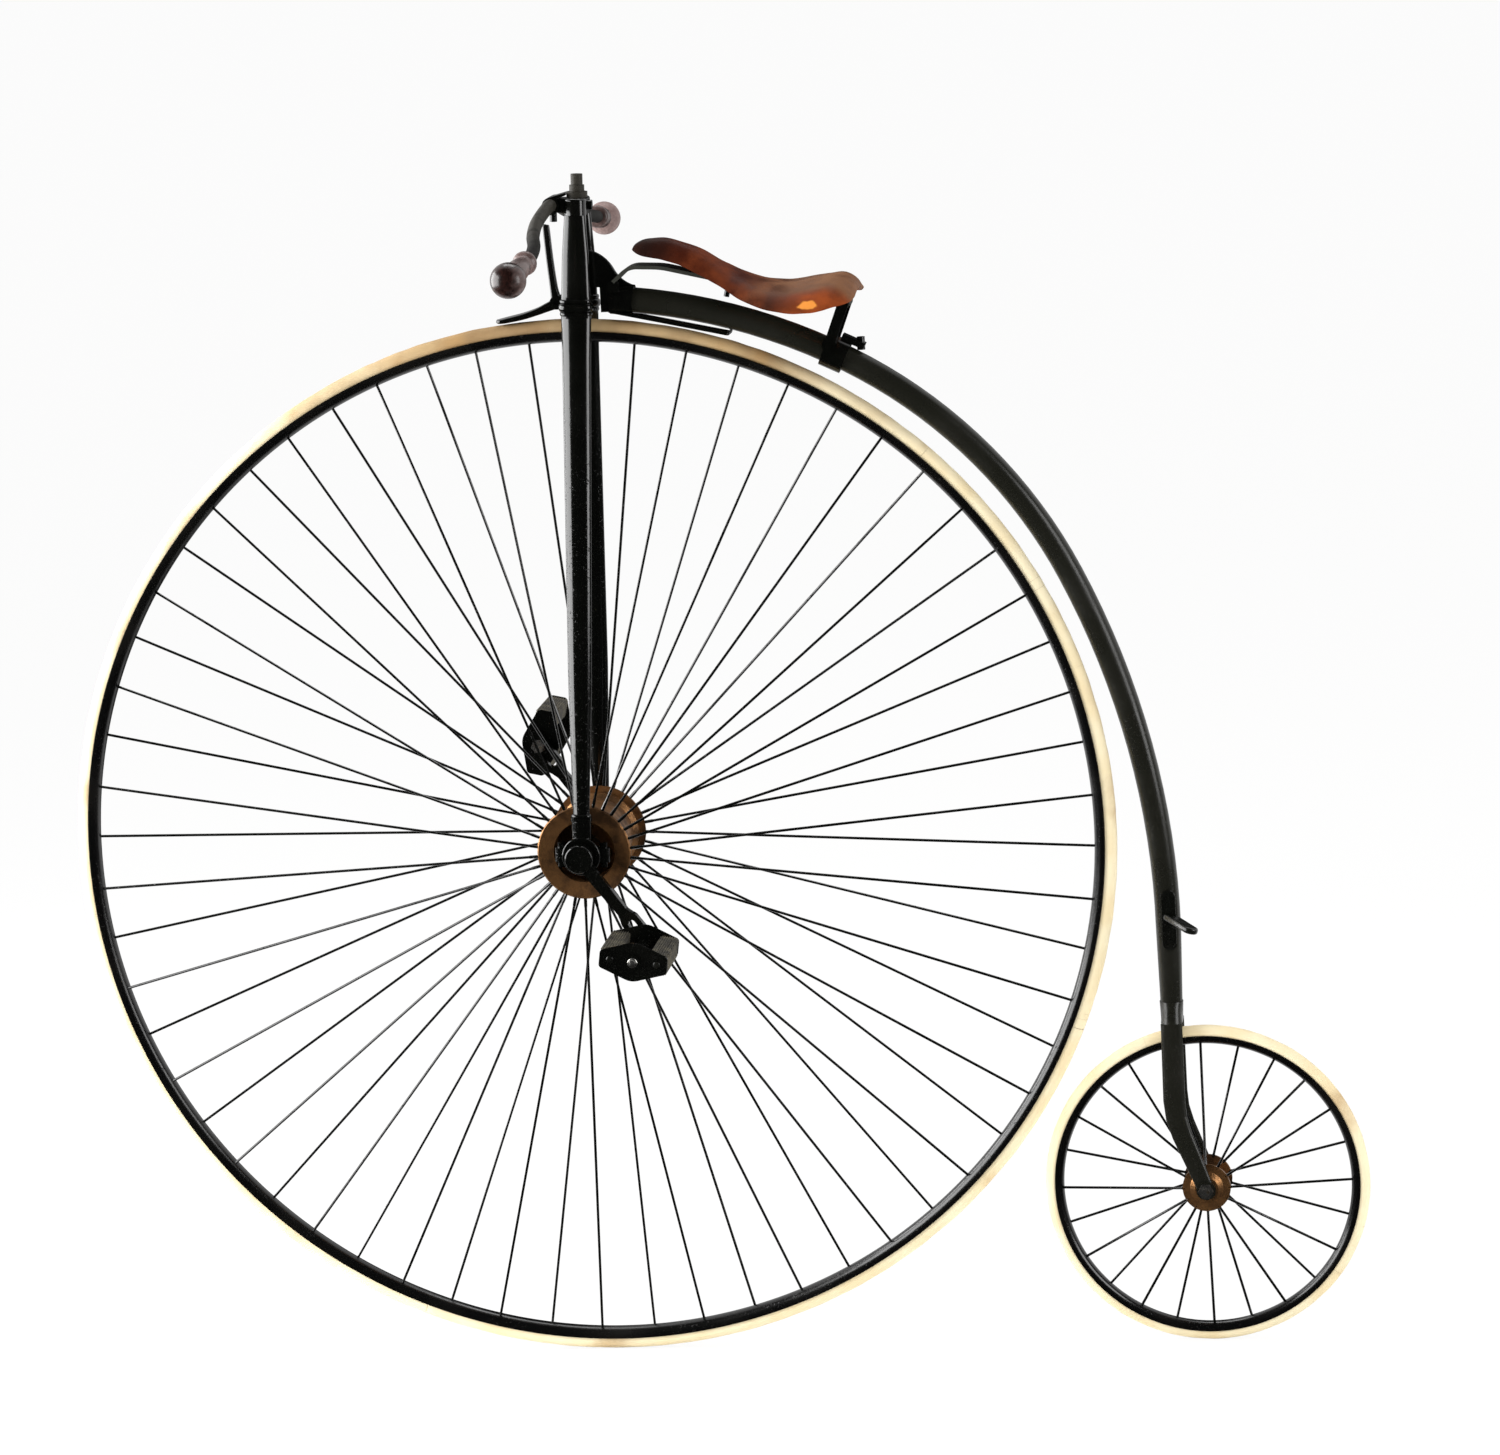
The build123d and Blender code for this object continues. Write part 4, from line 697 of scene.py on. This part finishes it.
def rim_profile(middle, section, back, lip):
    """A crescent: its back from lip to lip, a rolled edge, then the seat of the tyre."""
    centre = middle - lip + BACK_OFFSET
    open_angle = math.degrees(math.acos(-BACK_OFFSET / back))
    outline = arc((centre, 0), back, open_angle, 360 - open_angle, BACK_STEPS)
    seat_radius = section + SEAT_GAP
    seat_angle = math.degrees(math.acos(-lip / seat_radius))
    seat = arc((middle, 0), seat_radius, 360 - seat_angle, seat_angle, SEAT_STEPS)
    lip_half = (outline[0][1] + seat[-1][1]) / 2
    turns = [math.radians(turn) for turn in LIP_TURNS]
    near, far = ([(middle - lip + LIP_ROUND * math.cos(turn), side * (lip_half + LIP_ROUND * math.sin(turn)))
                  for turn in turns] for side in (-1, 1))
    return outline + near + seat + far


def make_rim(node, body, tyre, section, back, lip, steps):
    place, outer = wheel_frame(tyre)
    rings = lathe(rim_profile(outer - section, section, back, lip), steps, place)
    Rings().add(rings, closed=True).make(node + "_steel", FINISHES["rim_black"], body, "rim_black", [node])


for rim in RIMS:
    make_rim(*rim)

# %% Spokes
# name, body, tyre, rim, count, turn of the first in degrees, and in millimetres the flange's radius and its
# place out from the middle, the rim's radius and the spokes' place out from the middle there
SPOKES = [("front_spokes", "front_wheel", "front_tyre", "front_rim", 60, 3.9, 59.0, 65.1, 632.6, 4.5),
          ("rear_spokes", "rear_wheel", "rear_tyre", "rear_rim", 24, 0.6, 30.0, 24.4, 179.7, 3.5)]
# share of the length and radius: thread, neck, wire
SPOKE_SHAPE = [(0.0, 2.1), (0.022, 2.1), (0.026, 1.7), (1.0, 1.7)]
THREAD_IN, HEAD_IN = 3.0, 2.0    # millimetres that a spoke reaches into the flange and into the rim
SPOKE_SIDES = 8


def circle(steps):
    """Points round a circle of radius 1 in the XY plane."""
    turns = [math.tau * i / steps for i in range(steps)]
    return [Vector((math.cos(turn), math.sin(turn), 0)) for turn in turns]


def bar(rings, start, end, radii, sides):
    """A round bar with a radius, in millimetres, at each share of its length: [(share, radius), ...]."""
    turn = (end - start).to_track_quat("Z", "Y").to_matrix()
    rings.add([[start.lerp(end, share) + turn @ (point * radius * MM) for point in circle(sides)]
               for share, radius in radii])


def make_spokes(name, body, tyre, rim_node, count, phase, flange_r, flange_y, rim_r, spread):
    low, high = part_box(tyre)
    centre = (low + high) / 2
    wires = Rings()
    for number in range(count):
        side = 1 if number % 2 else -1
        angle = math.tau * number / count + math.radians(phase)
        out = Vector((math.cos(angle), 0, math.sin(angle)))
        foot = centre + out * (flange_r - THREAD_IN) * MM + Vector((0, side * flange_y * MM, 0))
        head = centre + out * (rim_r + HEAD_IN) * MM + Vector((0, side * spread * MM, 0))
        bar(wires, foot, head, SPOKE_SHAPE, SPOKE_SIDES)
    wires.make(name, FINISHES["black_enamel"], body, "rim_black", [rim_node])


for spokes in SPOKES:
    make_spokes(*spokes)

# %% [markdown]
# The saddle is one hide, wetted, pulled over its irons and riveted at the nose and along the cantle. It is
# modelled as that: a closed shell a little under five millimetres thick, made of outlines from nose to back.
# The table gives the top line and the lower edge, measured along the machine, and the half width. A curve
# that passes through each row makes the line between them smooth. Each outline is flat on top and turns down
# at the sides, more so at the back, where it lies over the cantle plate.

# %% The saddle's lines
# X, top and lower edge, from the front axle in millimetres, then half width and how square the section is
SADDLE = [(94, 744, 742.5, 6, 2.0), (96.5, 748, 741, 10, 2.0), (101, 751.5, 738.5, 15, 2.0),
          (108, 754.8, 735.5, 19, 2.1), (118, 756.3, 733.5, 22, 2.1), (135, 756, 731, 24, 2.2),
          (158, 749.5, 723, 27, 2.3), (182, 739, 710, 34, 2.5), (206, 723, 696, 46, 2.6),
          (232, 709, 682.5, 64, 2.8), (260, 699.5, 672.5, 83, 3.2), (290, 695.5, 666.5, 95, 3.6),
          (322, 700, 667, 98, 3.8), (346, 703, 671, 91, 3.6), (359, 701, 673, 80, 3.2),
          (368, 695.5, 675, 66, 2.8), (372, 688.5, 679.5, 54, 2.6)]
AXLE = sum(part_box("front_tyre"), Vector()) / 2
HIDE = 4.6             # thickness, and below it the largest share of a section's height
HIDE_SHARE = 0.45
HIDE_SIDE = 0.8        # thickness at the sides, as a share
EVEN_OUT = 0.9         # spreads the points of a section towards its sides
# depth of the folds in millimetres, how fast they change along and across, and a place in the noise
FOLDS = [(1.6, 0.02, 0.03, 3.7), (0.7, 0.055, 0.05, 9.1)]
SADDLE_ROWS, SADDLE_STEPS = 110, 44


def through(rows, share):
    """The point at a share of the way through a table, on a smooth curve that passes each row."""
    last = len(rows) - 1
    i = min(int(share * last), last - 1)
    t = share * last - i
    four_rows = [rows[min(max(row, 0), last)] for row in (i - 1, i, i + 1, i + 2)]
    return [0.5 * (2 * b + (c - a) * t + (2 * a - 5 * b + 4 * c - d) * t ** 2
                   + (3 * b - a - 3 * c + d) * t ** 3) for a, b, c, d in zip(*four_rows)]


def saddle_ring(share):
    """One closed outline of the hide: over the top from left to right, and back below."""
    x, top, edge, half, square = through(SADDLE, share)
    thin = min(HIDE, (top - edge) * HIDE_SHARE)
    outer, inner = [], []
    for i in range(SADDLE_STEPS + 1):
        u = -1 + 2 * i / SADDLE_STEPS
        across = math.copysign(abs(math.sin(u * math.pi / 2)) ** EVEN_OUT, u)
        drop = abs(across) ** square
        rise = sum(depth * noise.noise(Vector((x * along, across * half * over, seed)))
                   for depth, along, over, seed in FOLDS)
        outer.append(Vector((x, across * half, top - (top - edge) * drop + rise)))
        under = top - thin - (top - edge - thin) * drop + rise
        inner.append(Vector((x, across * (half - HIDE * HIDE_SIDE), under)))
    return [AXLE + point * MM for point in outer + inner[::-1]]


hide = Rings().add([saddle_ring(i / SADDLE_ROWS) for i in range(SADDLE_ROWS + 1)])
hide.make("saddle_hide", FINISHES["saddle_leather"], "frame", "saddle_leather", ["saddle_leather"], 70)

# %% [markdown]
# The handles are turned: a ring by the bar, a swelling for the hand and a ball at the end. A lathe of their
# profile is the way the real ones were made. They lie along the last run of the handlebar, so their matrix
# has its Z axis there. The bar itself, and all of the fork, leans back with the steering by a small rake.

# %% The handles
RAKE = math.radians(2.03)
FORK = at(*AXLE) @ Matrix.Rotation(RAKE, 4, "Y")
BAR_RUN = [(-18, 255, 762), (-23.4, 352, 750.5)]
GRIP_LENGTH, GRIP_BALL = 118.0, 21.5
BALL_OUT = 21.0          # how far the ball's middle stands out past the run's end
GRIP_STEPS, BALL_STEPS = 48, 22
NECK_TURN = -56          # degrees round the ball where it meets the neck
SIDES = {"left": -1, "right": 1}
# radius and height from the inner end: ring, groove, bead, swelling, neck
GRIP_TURNING = [(8.2, 0), (10.8, 0.2), (12.6, 1.2), (14.2, 3.0), (14.7, 5.6), (14.5, 8.2), (13.2, 10.2),
                (11.2, 11.6), (10.6, 13.0), (11.2, 14.2), (11.3, 16.0), (10.7, 17.4), (10.9, 21), (11.9, 28),
                (13.1, 37), (13.7, 46), (13.5, 54), (12.6, 63), (11.4, 71), (10.6, 76), (11.0, 77)]


def grip_place(side):
    inner, outer = (Vector((x, side * y, z)) * MM for x, y, z in BAR_RUN)
    out = (outer - inner).normalized()
    start = outer - out * (GRIP_LENGTH - GRIP_BALL - BALL_OUT) * MM
    return FORK @ at(*start) @ out.to_track_quat("Z", "Y").to_matrix().to_4x4()


def make_grip(side_name, finish):
    profile = GRIP_TURNING + arc((0, GRIP_LENGTH - GRIP_BALL), GRIP_BALL, NECK_TURN, 90, BALL_STEPS)
    rows = lathe(profile, GRIP_STEPS, grip_place(SIDES[side_name]))
    wood = Rings().add(rows, closed=True, round_ring=False)
    node = f"grip_{side_name}"
    wood.make(node + "_turned", finish, "fork", "grip_wood", [node], 50)


make_grip("left", FINISHES["grip_wood"])
make_grip("right", PALE_GRIP)

# %% [markdown]
# The handlebar is one steel bar, bent by hand, so its curve changes slowly and has no true arcs. A curve
# that passes a few points of each half gives its line, and rings square to the line give the bar. The brake
# spoon below it is forged: a flat shoe over the tyre that thickens to the elbow, and an upright arm. It is
# drawn as rounded flats along two short lines, which meet at the elbow.

# %% The handlebar
BAR_RADIUS = 8.0
# from the middle to the right end: X, Y and the height over the axle, before the rake
BAR_LINE = [(-30, 0, 801), (-31, 38, 801), (-35, 96, 788), (-31, 150, 777), (-22, 200, 769), (-18, 255, 762),
            (-20.8, 305, 756.1), (-23.4, 352, 750.5)]
BAR_ROWS, BAR_STEPS = 90, 28


def on_either_side(table, share, step):
    """The points of a smooth line a step before and a step after a share of the way."""
    return through(table, max(0.0, share - step)), through(table, min(1.0, share + step))


def make_bar():
    line = [(x, -y, z) for x, y, z in BAR_LINE[:0:-1]] + BAR_LINE
    rows = []
    for i in range(BAR_ROWS + 1):
        share = i / BAR_ROWS
        here = Vector(through(line, share))
        before, after = on_either_side(line, share, 0.01)
        heading = Vector(after) - Vector(before)
        turn = heading.normalized().to_track_quat("Z", "Y").to_matrix()
        rows.append([FORK @ ((here + turn @ (point * BAR_RADIUS)) * MM) for point in circle(BAR_STEPS)])
    Rings().add(rows).make("handlebar_bent", FINISHES["bar_steel"], "fork", "bar_steel", ["handlebar"], 60)


make_bar()

# %% The brake spoon
# X, height over the axle, breadth across the machine, thickness: along the middle of each flat
SPOON_SHOE = [(-104, 657.5, 12, 3.5), (-100, 657.2, 24, 5.5), (-90, 659.0, 26, 7), (-70, 663.6, 25, 8),
              (-52, 669.5, 20, 9), (-40, 674.5, 15, 11), (-29, 679, 12, 13)]
SPOON_ARM = [(-40, 774.5, 9, 6), (-39.5, 772, 12, 8), (-36, 735, 12, 8.5), (-31.5, 698, 12, 9.5),
             (-28.5, 682, 12, 13), (-28, 672, 12, 9)]
SPOON_ROWS, FLAT_STEPS = 28, 24
FLAT_CORNER = 0.5        # 1 makes the section an ellipse, and less squares it


def flat_bar(rings, table):
    """A bar with rounded corners along a table of middles, breadths and thicknesses."""
    section = [[math.copysign(abs(value) ** FLAT_CORNER, value) for value in point.xy]
               for point in circle(FLAT_STEPS)]
    rows = []
    for i in range(SPOON_ROWS + 1):
        share = i / SPOON_ROWS
        x, z, breadth, thick = through(table, share)
        before, after = on_either_side(table, share, 0.02)
        heading = Vector((after[0] - before[0], 0, after[1] - before[1])).normalized()
        up = Vector((-heading.z, 0, heading.x))
        rows.append([FORK @ ((Vector((x, wide * breadth / 2, z)) + up * high * thick / 2) * MM)
                     for wide, high in section])
    rings.add(rows)


spoon = Rings()
flat_bar(spoon, SPOON_SHOE)
flat_bar(spoon, SPOON_ARM)
spoon.make("brake_spoon_forged", FINISHES["black_enamel"], "fork", "black_enamel", ["brake_spoon"], 60)

# %% [markdown]
# The two legs of the fork are hollow blades, rolled from tube to two shallow curves that meet in a rounded
# edge. A plain ellipse with the same outline would be flat in front and would catch light only at its rim,
# but this section shows a broad bright band at each side. So the blades and the two head sides, whose edges
# are rounder, are drawn again with it, ring by ring, inside the outlines that the frame gives them.

# %% The fork's blades
# node, lower and upper height, centre out from the middle at each end, roundness of the edges, and then the
# widths on the way up: share of the way, fore and aft width, thickness
BLADES = [("fork_leg", (48.0, 664.0), (81.4, 29.2), 0.22,
           [(0, 20.5, 12.5), (0.15, 25.6, 14), (0.27, 29.6, 15.5), (0.64, 33.2, 17.4), (0.92, 35.8, 18.4),
            (1, 37.7, 18.8)]),
          ("head_side", (690.0, 790.0), (27.3, 22.0), 0.7,
           [(0, 36.5, 17.4), (0.51, 33.1, 16), (1, 26.2, 14)])]
BLADE_ROWS, BLADE_STEPS = 60, 44


def blade_section(width, thick, roundness):
    """Two shallow arcs with rounded edges, as points along X and Y."""
    half, deep = width / 2, thick / 2
    radius = (half ** 2 + deep ** 2) / (2 * deep)
    points = []
    for i in range(BLADE_STEPS):
        turn = math.tau * i / BLADE_STEPS
        u = math.cos(turn)
        shallow = (math.sqrt(radius ** 2 - (half * u) ** 2) - radius + deep) / deep
        full = abs(math.sin(turn))
        height = deep * (shallow * (1 - roundness) + full * roundness)
        points.append((half * u, math.copysign(height, math.sin(turn))))
    return points


def widths_at(table, share):
    """Width and thickness at a share of the way up."""
    for (a, *before), (b, *after) in zip(table, table[1:]):
        if share <= b:
            return [p + (q - p) * (share - a) / (b - a) for p, q in zip(before, after)]


def make_blade(name, heights, ends, roundness, table, side_name, side):
    rows = []
    for i in range(BLADE_ROWS + 1):
        share = i / BLADE_ROWS
        y = side * (ends[0] + (ends[1] - ends[0]) * share)
        z = heights[0] + (heights[1] - heights[0]) * share
        section = blade_section(*widths_at(table, share), roundness)
        rows.append([FORK @ (Vector((fore, y + out, z)) * MM) for fore, out in section])
    node = f"{name}_{side_name}"
    Rings().add(rows).make(node + "_blade", FINISHES["black_enamel"], "fork", "black_enamel", [node], 50)


for blade in BLADES:
    for side_name, side in SIDES.items():
        make_blade(*blade, side_name, side)

# %% [markdown]
# Where the legs enter the crown sits a thick collar, and a thin one closes each leg's foot. They were filed
# to a full round, which shows as a pearl of light at each end. Such a ring is a small oval that follows an
# outline: a slot with round ends.

# %% The collars of the fork
# name, height, centre out from the middle, length and breadth of the slot that the oval follows, and the
# oval's half width and half height
COLLARS = [("crown_collar", 677.0, 28.1, 35.5, 16.0, 4.3, 5.7),
           ("foot_collar", 49.5, 81.3, 20.5, 12.0, 2.4, 2.6)]
COLLAR_STEPS, OVAL_STEPS = 48, 16


def slot_outline(length, breadth):
    """Points of a slot about the origin, each with its outward direction."""
    end, points, half_steps = breadth / 2, [], COLLAR_STEPS // 2
    for side in (1, -1):
        for i in range(half_steps + 1):
            turn = math.pi * i / half_steps - math.pi / 2
            out = Vector((math.cos(turn) * side, math.sin(turn) * side, 0))
            points.append((Vector((side * (length / 2 - end), 0, 0)) + out * end, out))
    return points


def make_collar(name, height, out_y, length, breadth, half_width, half_height, side_name, side):
    rows = []
    for point, out in slot_outline(length, breadth):
        middle = point + Vector((0, side * out_y, height))
        rise = Vector((0, 0, half_height))
        rows.append([FORK @ ((middle + out * half_width * spot.x + rise * spot.y) * MM)
                     for spot in circle(OVAL_STEPS)])
    ring = Rings().add(rows, closed=True)
    ring.make(f"{name}_{side_name}", FINISHES["black_enamel"], "fork", "black_enamel", sharp=80)


for collar in COLLARS:
    for side_name, side in SIDES.items():
        make_collar(*collar, side_name, side)

# %% [markdown]
# A pedal holds two blocks of grey rubber between its plates. Fine ribs run along each block, so that a wet
# sole doesn't slip. The block's outline is therefore a rounded rectangle whose edge goes in and out, and
# the outline is drawn along the pedal. A nut and two screws close each outer plate.

# %% The outline of a block
# millimetres: how far a block's middle is from the pin, its breadth, height and corners, then its ribs
BLOCK_REACH, BLOCK_W, BLOCK_H, BLOCK_ROUND = 30.0, 24.0, 27.0, 4.0
RIB_PITCH, RIB_DEEP = 3.0, 1.6
RIB_POINTS = 6
RIB_SHARPNESS = 0.7      # under 1, the grooves are wider than the ribs


def ribbed_outline():
    """A rounded rectangle with ribs, as points across the block."""
    straight = [(BLOCK_H - 2 * BLOCK_ROUND), (BLOCK_W - 2 * BLOCK_ROUND)] * 2
    corner = math.pi / 2 * BLOCK_ROUND
    total = sum(straight) + 4 * corner
    ribs = round(total / RIB_PITCH)
    points = []
    for i in range(ribs * RIB_POINTS):
        rest = total * i / (ribs * RIB_POINTS)
        spot = Vector((BLOCK_W / 2, -BLOCK_H / 2 + BLOCK_ROUND))
        heading = 90.0
        for run in straight:
            direction = Vector((math.cos(math.radians(heading)), math.sin(math.radians(heading))))
            outward = Vector((direction.y, -direction.x))
            if rest <= run:
                spot, normal = spot + direction * rest, outward
                break
            spot, rest = spot + direction * run, rest - run
            centre = spot - outward * BLOCK_ROUND
            if rest <= corner:
                turn = math.radians(heading - 90) + rest / BLOCK_ROUND
                normal = Vector((math.cos(turn), math.sin(turn)))
                spot = centre + normal * BLOCK_ROUND
                break
            rest -= corner
            heading += 90
            spot = centre + direction * BLOCK_ROUND
        wave = (1 - math.cos(math.tau * i / RIB_POINTS)) / 2
        points.append(spot - normal * RIB_DEEP * wave ** RIB_SHARPNESS)
    return points


print("points round a block", len(ribbed_outline()))

# %% The pedals
# side, and tilt of the line of the blocks from straight aft, in degrees
PEDALS = [("left", -8.5), ("right", 77.0)]
# millimetres out from the machine's middle
BLOCK_FROM, BLOCK_TO, PLATE_FACE, NUT_FACE = 121.2, 219.8, 223.0, 226.8
BEVEL, BEVELLED = 1.0, 0.97      # a block's ends narrow to this share over this length
SCREW_REACH = 29.0
SCREW_STEPS, NUT_STEPS = 20, 24
# radius and height
PIN_END = [(6.2, 0), (6.2, 1.8), (5.6, 2.4), (5.0, 2.5), (4.8, 4.2), (4.2, 5.2), (2.4, 5.9), (0.0, 6.1)]
SCREW = [(4.3, 0), (4.3, 0.9), (3.8, 1.4), (2.2, 1.7), (0.0, 1.8)]
THINNEST = 0.01          # radius in place of a point, so that every ring has a size


def pedal_frame(side_name, tilt):
    low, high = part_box(f"pedal_plates_{side_name}")
    middle = (low + high) / 2
    return at(middle.x, 0, middle.z) @ Matrix.Rotation(math.radians(-tilt), 4, "Y")


def add_turned(rings, profile, place, steps):
    """Add a turned solid: each ring is a circle of the profile."""
    rings.add([[place @ ((point * max(radius, THINNEST) + Vector((0, 0, height))) * MM)
                for point in circle(steps)] for radius, height in profile])


def make_pedal(side_name, tilt):
    side, stand = SIDES[side_name], pedal_frame(side_name, tilt)
    outline, blocks = ribbed_outline(), Rings()
    ends = [(BLOCK_FROM, BEVELLED), (BLOCK_FROM + BEVEL, 1), (BLOCK_TO - BEVEL, 1), (BLOCK_TO, BEVELLED)]
    for half in (1, -1):
        blocks.add([[stand @ (Vector((half * (BLOCK_REACH + x * shrink), side * y, z * shrink)) * MM)
                     for x, z in outline] for y, shrink in ends])
    node = f"pedal_rubbers_{side_name}"
    body = f"pedal_{side_name}"
    blocks.make(node + "_ribbed", FINISHES["pedal_rubber"], body, "pedal_rubber", [node], 30)
    outwards = stand @ Matrix.Rotation(math.radians(-90 * side), 4, "X")
    screws = Rings()
    for reach in (-SCREW_REACH, SCREW_REACH):
        add_turned(screws, SCREW, outwards @ at(reach * MM, 0, PLATE_FACE * MM), SCREW_STEPS)
    screws.make(f"pedal_screws_{side_name}", FINISHES["worn_enamel"], body, "black_enamel")
    nut = Rings()
    add_turned(nut, PIN_END, outwards @ at(0, 0, NUT_FACE * MM), NUT_STEPS)
    nut.make(f"pedal_nut_{side_name}", FINISHES["bright_steel"], body, "bright_steel")


for pedal in PEDALS:
    make_pedal(*pedal)
